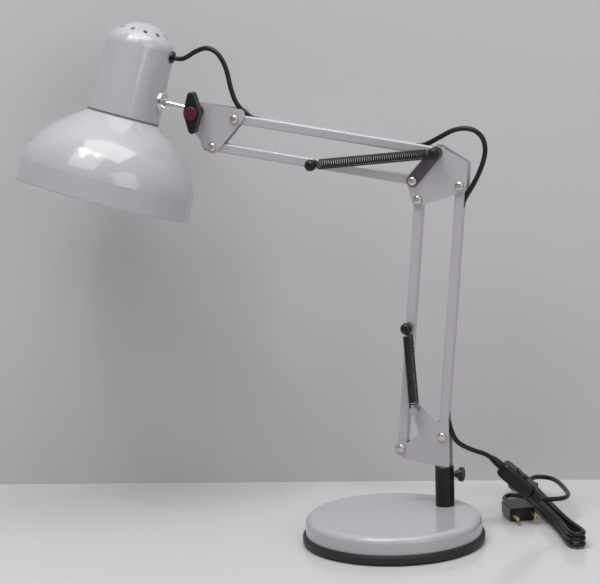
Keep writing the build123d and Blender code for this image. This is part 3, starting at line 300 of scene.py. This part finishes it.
# ---- finishes --------------------------------------------------------------------------------
@dataclass(frozen=True)
class Finish:
    """One opaque finish of the lamp, with its own scale of mottle, grain and dust."""
    name: str
    colour: tuple[float, float, float]
    roughness: float = 0.35
    spread: float = 0.10
    metallic: float = 0.0
    mottle: float = 0.25
    shade: float = 0.82
    patch_scale: float = 22.0
    grain_scale: float = 1100.0
    bump: float = 0.05
    bump_reach: float = 0.0002
    dust: float = 0.10
    coat: float = 0.0
    coat_roughness: float = 0.08
    specular: float = 0.5
    lines: bool = False

    def build(self) -> bpy.types.Material:
        """The finish as a material.

        Returns:
            The material.
        """
        material = bpy.data.materials.new(self.name)
        material.use_nodes = True
        w = Wiring(material.node_tree)
        shader = material.node_tree.nodes["Principled BSDF"]
        surface = w.add("Group")
        surface.node_tree = SURFACE
        entry = surface.inputs
        entry["Color"].default_value = grey(self.colour)
        entry["Shade"].default_value = grey(self.colour, self.shade)
        entry["Dust"].default_value = (0.55, 0.54, 0.53, 1.0)
        entry["Patch Scale"].default_value = self.patch_scale
        entry["Grain Scale"].default_value = self.grain_scale
        entry["Dust Amount"].default_value = self.dust
        entry["Roughness"].default_value = self.roughness
        entry["Roughness Spread"].default_value = self.spread
        entry["Mottle"].default_value = self.mottle
        shader.inputs["Metallic"].default_value = self.metallic
        shader.inputs["Specular IOR Level"].default_value = self.specular
        shader.inputs["Coat Weight"].default_value = self.coat
        shader.inputs["Coat Roughness"].default_value = self.coat_roughness
        height, rough = surface.outputs["Height"], surface.outputs["Roughness"]
        if self.lines:
            brush = w.add("Group")
            brush.node_tree = BRUSH
            height = w.maths("ADD", height, brush.outputs["Lines"])
            rough = w.maths("ADD", rough,
                            w.maths("MULTIPLY", w.maths("SUBTRACT", brush.outputs["Lines"], 0.5),
                                    0.25))
        bump = w.add("Bump", Strength=self.bump, Distance=self.bump_reach)
        w.join(height, bump.inputs["Height"])
        w.join(bump.outputs["Normal"], shader.inputs["Normal"])
        w.join(surface.outputs["Color"], shader.inputs["Base Color"])
        w.join(rough, shader.inputs["Roughness"])
        return material


@dataclass(frozen=True)
class FrostedGlass:
    """The bulb: clear glass with a white coating inside, that some light passes through."""
    name: str = "bulb_glass"
    colour: tuple[float, float, float] = (0.90, 0.90, 0.88)
    roughness: float = 0.22
    transmission: float = 0.25

    def build(self) -> bpy.types.Material:
        """The finish as a material.

        Returns:
            The material.
        """
        material = bpy.data.materials.new(self.name)
        material.use_nodes = True
        w = Wiring(material.node_tree)
        shader = material.node_tree.nodes["Principled BSDF"]
        place = w.add("TexCoord")
        noise = w.add("TexNoise", Scale=140.0, Detail=4.0)
        w.join(place.outputs["Object"], noise.inputs["Vector"])
        w.join(w.mix(noise.outputs["Fac"], grey(self.colour), grey(self.colour, 0.93)),
               shader.inputs["Base Color"])
        w.join(w.maths("ADD", w.maths("MULTIPLY", noise.outputs["Fac"], 0.12), self.roughness),
               shader.inputs["Roughness"])
        shader.inputs["Transmission Weight"].default_value = self.transmission
        shader.inputs["IOR"].default_value = 1.46
        return material


class Paint(Enum):
    """Every finish on the lamp."""
    WHITE = Finish("white_paint", (0.47, 0.455, 0.48), 0.22, 0.05, mottle=0.18, shade=0.93,
                   bump=0.035, grain_scale=420.0, dust=0.03, coat=0.55)
    SHADE = Finish("shade_paint", (0.47, 0.46, 0.48), 0.14, 0.04, mottle=0.15, shade=0.94,
                   bump=0.025, grain_scale=300.0, dust=0.02, coat=0.75)
    DARK = Finish("dark_paint", (0.010, 0.0095, 0.011), 0.30, 0.08, mottle=0.4, shade=1.6,
                  bump=0.08, dust=0.02, specular=0.3)
    # Dark grey of the elbow straps: painted shade, copying the shaded tone of the band across the elbow
    # plates.
    SHADED_STRAP = Finish("strap_painted_shade", (0.085, 0.075, 0.088), 0.42, 0.10, mottle=0.4, shade=0.7,
                   bump=0.10, dust=0.08)
    NICKEL = Finish("dome_nickel", (0.66, 0.64, 0.62), 0.22, 0.10, 1.0, mottle=0.35, shade=0.7,
                    patch_scale=160.0, bump=0.05, dust=0.03)
    CHROME = Finish("bright_chrome", (0.74, 0.74, 0.75), 0.09, 0.06, 1.0, mottle=0.25, shade=0.82,
                    patch_scale=120.0, bump=0.02, dust=0.02)
    ZINC = Finish("bright_zinc", (0.55, 0.55, 0.56), 0.34, 0.16, 1.0, mottle=0.5, shade=0.72,
                  patch_scale=140.0, bump=0.10, dust=0.03, lines=True)
    WIRE = Finish("spring_wire", (0.022, 0.022, 0.024), 0.36, 0.12, 0.55, mottle=0.5, shade=1.9,
                  patch_scale=260.0, bump=0.06, dust=0.05)
    CAST = Finish("cast_weight", (0.07, 0.07, 0.075), 0.70, 0.12, 0.4, mottle=0.6, shade=1.6,
                  patch_scale=90.0, grain_scale=380.0, bump=0.7, bump_reach=0.0008)
    RUBBER = Finish("foot_rubber", (0.010, 0.010, 0.011), 0.50, 0.12, mottle=0.45, shade=1.7,
                    patch_scale=60.0, grain_scale=900.0, bump=0.20, dust=0.05)
    PLASTIC = Finish("black_plastic", (0.008, 0.008, 0.009), 0.30, 0.08, mottle=0.4, shade=1.7,
                     patch_scale=120.0, grain_scale=1600.0, bump=0.12, dust=0.01, specular=0.35)
    # Dark grey of the seam ring: painted shade, the thin shadow line where the cap meets the shade.
    SEAM = Finish("seam_painted_shade", (0.20, 0.19, 0.20), 0.45, 0.08, mottle=0.3, shade=0.8, bump=0.05,
                  dust=0.02)
    FIBRE = Finish("fibre_washer", (0.24, 0.14, 0.08), 0.75, 0.10, mottle=0.7, shade=0.6,
                   patch_scale=300.0, bump=0.35, dust=0.0)
    RED = Finish("red_button", (0.10, 0.006, 0.022), 0.28, 0.10, mottle=0.4, shade=0.6,
                 patch_scale=200.0, bump=0.08, dust=0.03)
    CABLE = Finish("cable_sheath", (0.007, 0.007, 0.008), 0.34, 0.10, mottle=0.4, shade=1.7,
                   patch_scale=150.0, grain_scale=1300.0, bump=0.12, dust=0.01, specular=0.35)
    BRASS = Finish("brass_contact", (0.62, 0.44, 0.17), 0.26, 0.12, 1.0, mottle=0.5, shade=0.65,
                   patch_scale=120.0, bump=0.06, dust=0.02, lines=True)
    HOLDER = Finish("holder_plastic", (0.66, 0.655, 0.64), 0.42, 0.10, mottle=0.3, shade=0.88,
                    patch_scale=80.0, bump=0.08, dust=0.04)
    BULB = FrostedGlass()


MATERIALS: dict[Paint, bpy.types.Material] = {}


def material_of(paint: Paint) -> bpy.types.Material:
    """The finish's material, built at its first use.

    Args:
        paint: The finish.

    Returns:
        Its material.
    """
    if paint not in MATERIALS:
        MATERIALS[paint] = paint.value.build()
    return MATERIALS[paint]


def dress(paint: Paint, *nodes: str) -> None:
    """Gives CAD nodes a finish.

    Args:
        paint: The finish.
        nodes: The nodes' names.
    """
    for name in nodes:
        slots = NODES[name].data.materials
        slots.clear()
        slots.append(material_of(paint))
        LOG.info("%s wears %s", name, paint.value.name)


# ---- making meshes ---------------------------------------------------------------------------
def pick_nothing() -> None:
    """Deselects every object."""
    bpy.ops.object.select_all(action="DESELECT")


def smooth(piece: bpy.types.Object, angle: float = 32.0) -> None:
    """Smooth shading across edges blunter than the angle."""
    pick_nothing()
    piece.select_set(True)
    bpy.context.view_layer.objects.active = piece
    bpy.ops.object.shade_smooth_by_angle(angle=radians(angle))


def finish_piece(piece: bpy.types.Object, name: str, paint: Paint) -> bpy.types.Object:
    """Names a piece and gives it its finish.

    Args:
        piece: The object.
        name: Its name.
        paint: Its finish.

    Returns:
        The piece.
    """
    piece.name = name
    piece.data.materials.clear()
    piece.data.materials.append(material_of(paint))
    LOG.info("made %s", name)
    return piece


def tube_mesh(name: str, path: list[Vector], radius: float, sides: int) -> bpy.types.Object:
    """A round tube along a path, closed at both ends.

    Args:
        name: The object's name.
        path: Points on the centre line, in metres.
        radius: The tube's radius.
        sides: Corners of its section.

    Returns:
        The mesh object.
    """
    work = bmesh.new()
    ways = [(path[min(i + 1, len(path) - 1)] - path[max(i - 1,
            0)]).normalized() for i in range(len(path))]
    across = ways[0].orthogonal().normalized()
    rings = []
    for point, way in zip(path, ways):
        across = (across - way * across.dot(way)).normalized()
        other = way.cross(across)
        turns = [2 * pi * i / sides for i in range(sides)]
        corners = [point + radius * (across * cos(a) + other * sin(a)) for a in turns]
        rings.append([work.verts.new(corner) for corner in corners])
    for low, high in zip(rings, rings[1:]):
        for i in range(sides):
            work.faces.new((low[i], low[(i + 1) % sides], high[(i + 1) % sides], high[i]))
    work.faces.new(rings[0][::-1])
    work.faces.new(rings[-1])
    bmesh.ops.recalc_face_normals(work, faces=work.faces)
    mesh = bpy.data.meshes.new(name)
    work.to_mesh(mesh)
    work.free()
    piece = bpy.data.objects.new(name, mesh)
    bpy.context.scene.collection.objects.link(piece)
    smooth(piece, 50.0)
    return piece


def route_curve(name: str, route: list[Vector], radius: float) -> bpy.types.Object:
    """A smooth NURBS curve drawn toward a route's points.

    Args:
        name: The object's name.
        route: Control points in metres.
        radius: The cable's radius, or 0 for a bare line.

    Returns:
        The curve object.
    """
    curve = bpy.data.curves.new(name, "CURVE")
    curve.dimensions = "3D"
    spline = curve.splines.new("NURBS")
    spline.points.add(len(route) - 1)
    for point, place in zip(spline.points, route):
        point.co = (*place, 1.0)
    spline.order_u = 3
    spline.use_endpoint_u = True
    curve.resolution_u = 12
    curve.bevel_depth = radius
    curve.bevel_resolution = 5
    curve.use_fill_caps = radius > 0
    piece = bpy.data.objects.new(name, curve)
    bpy.context.scene.collection.objects.link(piece)
    return piece


def route_path(route: list[Vector]) -> list[Vector]:
    """Points read from a route's smooth line.

    Args:
        route: Control points in metres.

    Returns:
        Points along the line.
    """
    line = route_curve("route", route, 0.0)
    bpy.context.view_layer.update()
    mesh = bpy.data.meshes.new_from_object(line.evaluated_get(bpy.context.evaluated_depsgraph_get()))
    path = [v.co.copy() for v in mesh.vertices]
    bpy.data.meshes.remove(mesh)
    bpy.data.objects.remove(line)
    if (path[0] - route[0]).length > (path[-1] - route[0]).length:
        path.reverse()
    return path


def path_length(path: list[Vector]) -> float:
    """The length of a path of points."""
    return sum((b - a).length for a, b in zip(path, path[1:]))


def shares_of(path: list[Vector], shares: list[float]) -> list[list[Vector]]:
    """Cuts a path into stretches that meet end to end.

    Args:
        path: Points along a line.
        shares: Each stretch's share of the length.

    Returns:
        The stretches.
    """
    total, run, cuts, due = path_length(path), 0.0, [0], shares[0]
    for i, (a, b) in enumerate(zip(path, path[1:])):
        run += (b - a).length
        if len(cuts) < len(shares) and run >= total * due:
            due += shares[len(cuts)]
            cuts.append(i + 1)
    cuts.append(len(path) - 1)
    return [path[a:b + 1] for a, b in zip(cuts, cuts[1:])]


# ---- studio ----------------------------------------------------------------------------------
@dataclass
class Studio:
    """Camera at the photograph's angle, pale table and wall, soft lights."""
    eye: tuple[float, float, float] = (0.7229, -2.2454, 0.6802)
    heading: float = 20.0
    tilt: float = 79.87
    roll: float = -1.58
    lens: float = 144.0
    frame: tuple[int, int] = (600, 584)
    edge: tuple[float, float] = (484.0, 479.0)
    half_width: float = 6.0
    depth: float = 9.0
    wall_height: float = 4.0
    table_colour: tuple[float, float, float] = (0.66, 0.645, 0.66)
    wall_colour: tuple[float, float, float] = (0.585, 0.57, 0.585)
    lamps: list[tuple] = field(default_factory=lambda: [
        ("key", (-0.4, -1.3, 2.3), 1.5, 15.0), ("fill", (1.7, -1.4, 1.2), 1.4, 9.0), ("top",
                (0.2, 0.0, 2.4), 1.8, 33.0)])
    bulbs: tuple = ((-0.45, -0.75, 2.20), (-0.64, -0.62, 2.12), (-0.58, -0.88, 2.02),
                    (-0.02, -0.80, 2.20))
    bulb_size: float = 0.10
    bulb_power: float = 2.2

    def camera(self) -> None:
        """Builds the camera."""
        data = bpy.data.cameras.new("camera")
        data.lens, data.sensor_width = self.lens, SENSOR
        data.clip_start, data.clip_end = 0.05, 60.0
        seat = bpy.data.objects.new("camera", data)
        turn = Matrix.Rotation(radians(self.heading), 4, "Z") @ Matrix.Rotation(radians(self.tilt),
                4, "X")
        turn = turn @ Matrix.Rotation(radians(self.roll), 4, "Z")
        seat.matrix_world = Matrix.Translation(self.eye) @ turn
        bpy.context.scene.collection.objects.link(seat)
        bpy.context.scene.camera = seat
        self.seat = seat

    def floor_point(self, x: float, y: float) -> Vector:
        """The point of the table seen at a pixel.

        Args:
            x: Pixels from the left.
            y: Pixels from the top.

        Returns:
            The point at z = 0.
        """
        reach = self.lens / SENSOR * self.frame[0]
        ray = self.seat.matrix_world.to_3x3() @ Vector((x - self.frame[0] / 2,
                self.frame[1] / 2 - y, -reach))
        start = Vector(self.eye)
        return start - ray * (start.z / ray.z)

    def sheet(self, name: str, corners: list[Vector], colour: tuple, roughness: float,
              scale: float) -> None:
        """A flat sheet of the set, with its own finish.

        Args:
            name: Its name.
            corners: Four corners.
            colour: Its colour.
            roughness: Its roughness.
            scale: Scale of its mottle.
        """
        mesh = bpy.data.meshes.new(name)
        mesh.from_pydata([tuple(c) for c in corners], [], [(0, 1, 2, 3)])
        piece = bpy.data.objects.new(name, mesh)
        bpy.context.scene.collection.objects.link(piece)
        look = Finish(name, colour, roughness, 0.06, mottle=0.25, shade=0.95, patch_scale=scale,
                      bump=0.03, dust=0.0)
        mesh.materials.append(look.build())

    def room(self) -> None:
        """Lays the table and stands the wall behind it."""
        left, right = self.floor_point(0, self.edge[0]), self.floor_point(self.frame[0],
                self.edge[1])
        way = (right - left).normalized() * self.half_width
        a, b = left - way, right + way
        front = Vector((way.y, -way.x, 0.0)).normalized() * self.depth
        drop = Vector((0, 0, -0.0005))
        self.sheet("table", [a + drop, a + front + drop, b + front + drop, b + drop],
                   self.table_colour, 0.13, 3.0)
        up = Vector((0, 0, self.wall_height))
        self.sheet("wall", [a + drop, b + drop, b + up, a + up], self.wall_colour, 0.55, 2.0)

    def lights(self) -> None:
        """Hangs the soft lamps and sets the world."""
        small = [(f"bulb {i}", place, self.bulb_size, self.bulb_power) for i,
                 place in enumerate(self.bulbs)]
        for name, place, size, power in self.lamps + small:
            data = bpy.data.lights.new(name, "AREA")
            data.shape = "DISK" if size < 1.0 else "SQUARE"
            data.size, data.energy = size, power
            lamp = bpy.data.objects.new(name, data)
            lamp.location = place
            lamp.rotation_euler = (Vector((0.0, 0.0, 0.28)) - Vector(place)).to_track_quat("-Z",
                    "Y").to_euler()
            bpy.context.scene.collection.objects.link(lamp)
        world = bpy.data.worlds.new("studio")
        world.use_nodes = True
        world.node_tree.nodes["Background"].inputs["Color"].default_value = (0.80, 0.79, 0.81, 1.0)
        world.node_tree.nodes["Background"].inputs["Strength"].default_value = 0.33
        bpy.context.scene.world = world
        bpy.context.scene.view_settings.view_transform = "Standard"

    def build(self) -> None:
        """Camera, set and lights."""
        self.camera()
        self.room()
        self.lights()
        LOG.info("studio ready")


# ---- cables ----------------------------------------------------------------------------------
def relief(name: str, foot: Vector, way: Vector, length: float, wide: float, slim: float,
           ribs: int) -> bpy.types.Object:
    """A tapered, ribbed sleeve where the cable leaves a housing.

    Args:
        name: Its name.
        foot: Middle of its wide end.
        way: Its direction.
        length: Its length in millimetres.
        wide: Radius at the housing.
        slim: Radius at the cable.
        ribs: Rings along it.

    Returns:
        The sleeve.
    """
    way = way.normalized()
    turn = way.to_track_quat("Z", "Y").to_euler()
    pick_nothing()
    bpy.ops.mesh.primitive_cone_add(vertices=32, radius1=wide * MM, radius2=slim * MM,
                                    depth=length * MM,
                                    location=foot + way * length * MM / 2, rotation=turn)
    sleeve = bpy.context.object
    for i in range(ribs):
        share = (i + 0.5) / ribs
        bpy.ops.mesh.primitive_torus_add(major_segments=32, minor_segments=8,
                                         minor_radius=RIB * MM,
                                         major_radius=(wide + (slim - wide) * share) * MM,
                                         location=foot + way * length * share * MM, rotation=turn)
        bpy.context.object.select_set(True)
        sleeve.select_set(True)
        bpy.context.view_layer.objects.active = sleeve
        bpy.ops.object.join()
    bpy.ops.object.transform_apply(location=True, rotation=True, scale=True)
    smooth(sleeve, 40.0)
    finish_piece(sleeve, name, Paint.PLASTIC)
    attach(sleeve, "base")
    return sleeve


@dataclass
class Cables:
    """The one round cable: in the bars, in two loops, to the switch, and wound in its hank."""
    radius: float = 0.0025
    upper: tuple = ((5.0, 11.5), (20.5, 0.0), (39.8, 0.0), (180.4, 0.0), (196.9, 0.0), (211.0, 8.5))
    lower: tuple = ((4.5, 8.3), (22.0, 0.0), (41.4, 0.0), (218.6, 0.0), (237.7, 0.0), (254.6, 9.0))
    elbow: tuple = ((-13.0, 413.6), (-25.5, 416.6), (-38.0, 414.6), (-46.8, 405.5), (-48.2, 391.5),
                    (-43.2, 376.0))
    head: tuple = ((56.6, 62.0, -8.2), (45.3, 69.0, -7.0), (31.3, 73.0, -5.4), (18.6, 66.2, -3.6),
                   (9.8, 50.1, -1.8), (6.2, 32.1, -0.6))
    gland: tuple = (39.0, 71.0)
    gland_lead: float = 7.0
    elbow_leads: tuple = (7.5, 9.0)
    head_lead: float = 10.5
    supply_lead: float = 8.0
    switch_lead: float = 13.0
    elbow_shares: tuple = (0.5, 0.5)
    head_shares: tuple = (0.27, 0.27, 0.27, 0.19)
    supply_shares: tuple = (0.45, 0.55)
    stretch: tuple = ((57.0, 53.0, 90.3), (66.5, 68.0, 81.0))
    switch_in: tuple = (85.2, 88.5, 64.7)
    switch_out: tuple = (126.5, 92.7, 29.6)
    tie: tuple = (101.0, 168.0)
    way: tuple = (0.5, -sqrt(0.75))
    floor: float = 3.6
    layers: int = 3
    pitch: float = 5.5
    waist: float = 2.95
    near: tuple = (176.0, 9.0)
    far: tuple = (62.0, 14.0)
    plug: tuple = (22.0, -27.0, 7.2)
    ring: float = 31.0
    crest: float = 22.0
    waist_end: float = 10.0
    ring_end: float = 25.0
    plug_turn: float = 20.0
    spread: float = 58.0

    def bar_route(self, foot: tuple, angle: float, steps: tuple) -> list[Vector]:
        """A bar's cable as points in metres."""
        return [PLANE.at(*PLANE.along(foot, angle, s, t)) for s, t in steps]

    def onward(self, route: list[Vector], end: int, reach: float) -> Vector:
        """A point straight on from the end of a bar's cable.

        Args:
            route: The bar cable's points.
            end: 0 for its first end, -1 for its last.
            reach: Millimetres on.

        Returns:
            The point.
        """
        tip, inner = (route[0], route[1]) if end == 0 else (route[-1], route[-2])
        return tip + (tip - inner).normalized() * reach * MM

    def declare(self, node: str, length: float) -> None:
        """Hides the CAD node that a cable stands for.

        Args:
            node: The CAD node.
            length: Its length; not used.
        """
        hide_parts(node)

    def in_bar(self, node: str, route: list[Vector], body: str) -> None:
        """The straight cable inside a bar."""
        piece = finish_piece(route_curve(node + "_sheath", route, self.radius), node + "_sheath",
                             Paint.CABLE)
        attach(piece, body)
        self.declare(node, path_length(route_path(route)))

    def bent(self, node: str, route: list[Vector], bodies: list[str], shares: list[float]) -> None:
        """A stretch that crosses joints, one tube for each joint.

        Args:
            node: The CAD node that it stands for.
            route: Its control points.
            bodies: The chain of bodies from its first end to its last.
            shares: Each tube's share of the length.
        """
        parts = shares_of(route_path(route), shares)
        for i, (part, a, b) in enumerate(zip(parts, bodies, bodies[1:])):
            name = f"{node}_{i + 1}"
            piece = finish_piece(tube_mesh(name, part, self.radius, 20), name, Paint.CABLE)
            if path_length(part) < SHORTEST_CORD:
                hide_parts(node)
            else:
                self.declare(node, path_length(part))
            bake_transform(piece)

    def hank_point(self, x: float, y: float, z: float) -> Vector:
        """A point of the hank: along, across to the right, up, in millimetres from the tie."""
        wx, wy = self.way
        return Vector((self.tie[0] + x * wx - y * wy, self.tie[1] + x * wy + y * wx, z)) * MM

    def hank_route(self) -> list[Vector]:
        """From the switch over the top, down through the layers and out to the plug.

        Returns:
            The control points in metres.
        """
        top = self.floor + self.layers * self.pitch
        start, before = Vector(self.switch_out) * MM, Vector(self.switch_in) * MM
        wx, wy = self.way
        sx = (self.switch_out[0] - self.tie[0]) * wx + (self.switch_out[1] - self.tie[1]) * wy
        points = [start, start + (start - before).normalized() * 2 * self.radius]
        w, hp = self.waist, self.hank_point
        side, far, end = self.ring, self.ring_end, self.waist_end
        back = (side - w) / 2
        points += [hp(sx - 3, self.crest, top + 4.6), hp(end, side, top + 1.0), hp(-far, side, top)]
        points += [hp(-far - back, side - back, top), hp(-far, w, top), hp(-end, w, top)]
        (reach, bend), (behind, turn) = self.near, self.far
        z = top
        for layer in range(self.layers):
            z -= self.pitch
            points += [hp(reach - self.spread, w, z), hp(reach - bend, bend, z), hp(reach, 0, z)]
            points += [hp(reach - bend, -bend, z), hp(reach - self.spread, -w, z), hp(-end, -w, z)]
            if layer < self.layers - 1:
                points += [hp(turn - behind, -turn, z), hp(-behind, 0, z), hp(turn - behind, turn, z)]
                points.append(hp(-end, w, z))
        start_x, plug_side, high = self.plug
        half = (-plug_side - w) / 2
        points += [hp(-self.plug_turn, -w, z), hp(-self.plug_turn - half, -w - half, z)]
        points += [hp(-self.plug_turn, plug_side, z)]
        points += [hp(start_x - 2 * self.radius / MM, plug_side, high), hp(start_x, plug_side, high)]
        return points

    def build(self) -> None:
        """Every stretch of the cable."""
        upper = self.bar_route(UPPER_TOP_PIVOT, UPPER_ANGLE, self.upper)
        lower = self.bar_route(LOWER_REAR_PIVOT, LOWER_ANGLE, self.lower)
        self.in_bar("upper_bar_cable", upper, "upper_top_bar")
        self.in_bar("lower_bar_cable", lower, "lower_rear_bar")
        self.elbow_loop(upper, lower)
        self.head_loop(upper)
        outward = self.supply(lower)
        self.hank(outward)

    def elbow_loop(self, upper: list[Vector], lower: list[Vector]) -> None:
        """The loop from the upper bar's cable to the lower bar's.

        Args:
            upper: The upper bar cable's points.
            lower: The lower bar cable's points.
        """
        first, last = self.elbow_leads
        route = [upper[0], self.onward(upper, 0, first)] + [PLANE.at(*p) for p in self.elbow]
        route += [self.onward(lower, -1, last), lower[-1]]
        self.bent("elbow_cable_loop", route, ["upper_top_bar", "elbow", "lower_rear_bar"],
                  list(self.elbow_shares))

    def head_loop(self, upper: list[Vector]) -> None:
        """The loop from the lamp cap to the upper bar's cable.

        Args:
            upper: The upper bar cable's points.
        """
        (out, up), (tu, tv) = self.gland, UPPER_TOP_END
        route = [head_point(out, up), head_point(out + self.gland_lead, up)]
        route += [PLANE.at(tu + du, tv + dv, side) for du, dv, side in self.head]
        route += [self.onward(upper, -1, self.head_lead), upper[-1]]
        bodies = ["head", "head_ball", "head_rod", "head_bracket", "upper_top_bar"]
        self.bent("head_cable_loop", route, bodies, list(self.head_shares))

    def supply(self, lower: list[Vector]) -> bpy.types.Object:
        """The stretch from the lower bar's cable to the switch, with both sleeves of the switch.

        Args:
            lower: The lower bar cable's points.

        Returns:
            The sleeve where the cable leaves the switch.
        """
        entry, leave = Vector(self.switch_in) * MM, Vector(self.switch_out) * MM
        before = entry - (leave - entry).normalized() * self.switch_lead * MM
        route = [lower[0], self.onward(lower, 0, self.supply_lead)]
        route += [Vector(p) * MM for p in self.stretch] + [before, entry]
        inward = relief("switch_entry_relief", entry, entry - leave, 8.0, 4.1, 3.0, 3)
        outward = relief("switch_exit_relief", leave, leave - entry, 5.5, 3.9, 3.1, 2)
        self.bent("supply_cord", route, ["lower_rear_bar", "turret", "base"],
                  list(self.supply_shares))
        return outward

    def hank(self, outward: bpy.types.Object) -> None:
        """The wound cable from the switch to the plug, with the plug's sleeve.

        Args:
            outward: The sleeve at the switch; not used.
        """
        route = self.hank_route()
        hank = finish_piece(route_curve("hank", route, self.radius), "hank", Paint.CABLE)
        hank.data.resolution_u = 8
        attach(hank, "base")
        plug = relief("plug_relief", route[-1], route[-2] - route[-1], 11.0, 5.0, 3.2, 4)
        self.declare("cord_hank", path_length(route_path(route)))


# ---- springs ---------------------------------------------------------------------------------
@dataclass
class Springs:
    """The two close-wound tension springs beside the arms."""
    wire: float = 1.5
    coil: float = 4.75
    loop: float = 3.1
    side: float = 14.5
    reach: float = 7.6
    lower_stud: float = 128.0
    upper_stud: float = 106.0
    end_arc: float = 230.0
    end_steps: int = 12
    ease_arc: float = 45.0
    ease_steps: int = 4
    turn_steps: int = 18

    def line(self, foot: tuple[float, float], top: tuple[float, float], turns: int) -> list[Vector]:
        """The wire's centre line: a loop round the first stud, the coil, a loop round the second.

        Args:
            foot: First stud.
            top: Second stud.
            turns: Turns of the coil.

        Returns:
            Points in metres.
        """
        length = hypot(top[0] - foot[0], top[1] - foot[1])
        cu, cv = (top[0] - foot[0]) / length, (top[1] - foot[1]) / length
        start = PLANE.at(*foot, self.side)
        up = Vector((-cu, 0, cv))
        across = Vector((cv, 0, cu))
        out = up.cross(across)
        points = []
        for i in range(self.end_steps + 1):
            a = radians(-self.end_arc + self.end_arc * i / self.end_steps)
            points.append((self.loop * cos(a), 0.0, self.loop * sin(a)))
        rise, steps = length - 2 * self.reach, turns * self.turn_steps
        for i in range(self.ease_steps):
            t = (i + 0.5) / self.ease_steps
            a = radians(self.ease_arc * t)
            r = self.loop + (self.coil - self.loop) * t
            points.append((r * cos(a), r * sin(a), self.reach * t))
        whole = 2 * pi * (turns + 1) - radians(2 * self.ease_arc)
        for i in range(steps + 1):
            a = radians(self.ease_arc) + whole * i / steps
            points.append((self.coil * cos(a), self.coil * sin(a), self.reach + rise * i / steps))
        for i in range(self.ease_steps):
            t = (i + 0.5) / self.ease_steps
            a = radians(360.0 - self.ease_arc * (1 - t))
            r = self.coil + (self.loop - self.coil) * t
            points.append((r * cos(a), r * sin(a), length - self.reach * (1 - t)))
        for i in range(self.end_steps + 1):
            a = radians(self.end_arc * i / self.end_steps)
            points.append((self.loop * cos(a), 0.0, length + self.loop * sin(a)))
        return [start + (across * x + out * y + up * z) * MM for x, y, z in points]

    def build(self) -> None:
        """Both springs, each drawn between its two studs."""
        lower_stud = PLANE.along(LOWER_FRONT_PIVOT, LOWER_ANGLE, self.lower_stud)
        upper_stud = PLANE.along(UPPER_LOW_PIVOT, UPPER_ANGLE, self.upper_stud)
        jobs = (("lower_spring", lower_stud, SPRING_HOOK, 34, "lower_front_bar", "turret"),
                ("upper_spring", UPPER_TOP_PIVOT, upper_stud, 48, "elbow", "upper_low_bar"))
        for node, foot, top, turns, a, b in jobs:
            path = self.line(foot, top, turns)
            piece = finish_piece(tube_mesh(node + "_coil", path, self.wire * MM / 2, 9),
                                 node + "_coil", Paint.WIRE)
            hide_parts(node)
            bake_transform(piece)


# ---- the lamp's sub-assemblies ---------------------------------------------------------------
@dataclass
class Base:
    """Weighted base: cover, cast weight, plate, rubber foot and post socket."""

    def build(self) -> None:
        """Dresses the base."""
        dress(Paint.WHITE, "base_cover")
        dress(Paint.CAST, "base_weight")
        dress(Paint.RUBBER, "base_ring")
        dress(Paint.ZINC, "base_plate", "base_plate_screws", "socket_nut")
        dress(Paint.DARK, "socket_tube")
        dress(Paint.PLASTIC, "thumb_screw")


@dataclass
class LowerArm:
    """Turning bracket and the two lower bars."""

    def build(self) -> None:
        """Dresses the lower arm."""
        dress(Paint.WHITE, "lower_bracket", "lower_rear_bar", "lower_front_bar")
        dress(Paint.ZINC, "turret_pin", "lower_bracket_nuts", "spring_hook_pin",
              "lower_spring_stud")
        dress(Paint.NICKEL, "lower_bracket_bolts")
        dress(Paint.PLASTIC, "lower_spring_cap")
        dress(Paint.WIRE, "lower_spring")


@dataclass
class UpperArm:
    """Elbow plates, straps and the two upper bars."""

    def build(self) -> None:
        """Dresses the elbow and the upper arm."""
        dress(Paint.WHITE, "elbow_plates", "upper_top_bar", "upper_low_bar")
        # The straps' dark grey is painted shade across the elbow.
        dress(Paint.SHADED_STRAP, "elbow_straps")
        dress(Paint.NICKEL, "elbow_bolts")
        dress(Paint.ZINC, "elbow_nuts", "elbow_spring_pin", "upper_spring_stud")
        dress(Paint.PLASTIC, "elbow_cap", "upper_spring_cap")
        dress(Paint.WIRE, "upper_spring")


@dataclass
class Head:
    """Head bracket, ball joint, cap, shade, holder and bulb."""

    def build(self) -> None:
        """Dresses the head."""
        dress(Paint.WHITE, "head_bracket")
        dress(Paint.NICKEL, "head_bracket_bolts")
        dress(Paint.ZINC, "head_bracket_nuts", "wing_bolt", "joint_retainer")
        dress(Paint.PLASTIC, "wing_nut", "cable_grommet")
        dress(Paint.RED, "wing_nut_button")
        dress(Paint.FIBRE, "friction_washers")
        dress(Paint.CHROME, "head_rod", "head_ball", "joint_ring")
        dress(Paint.SHADE, "lamp_cap", "shade")
        # The seam ring's dark grey is painted shade where the cap meets the shade.
        dress(Paint.SEAM, "seam_ring")
        dress(Paint.HOLDER, "lampholder", "holder_ring")
        dress(Paint.BRASS, "holder_shell")
        dress(Paint.BULB, "bulb")


@dataclass
class SupplyParts:
    """In-line switch, tie and plug."""

    def build(self) -> None:
        """Dresses what is on the cord."""
        dress(Paint.PLASTIC, "switch_base", "switch_cover", "switch_rocker", "hank_tie",
              "plug_body")
        dress(Paint.BRASS, "plug_pins")
        dress(Paint.CABLE, "upper_bar_cable", "lower_bar_cable", "elbow_cable_loop",
              "head_cable_loop", "supply_cord", "cord_hank")


def main() -> None:
    """Builds the studio, then the lamp in order."""
    logging.basicConfig(level=logging.INFO, format="%(name)s: %(message)s")
    pick_nothing()
    for part in (Studio(), Cables(), Springs(), Base(), LowerArm(), UpperArm(), Head(),
                 SupplyParts()):
        part.build()
        LOG.info("%s done", type(part).__name__)


if __name__ == "__main__":
    main()
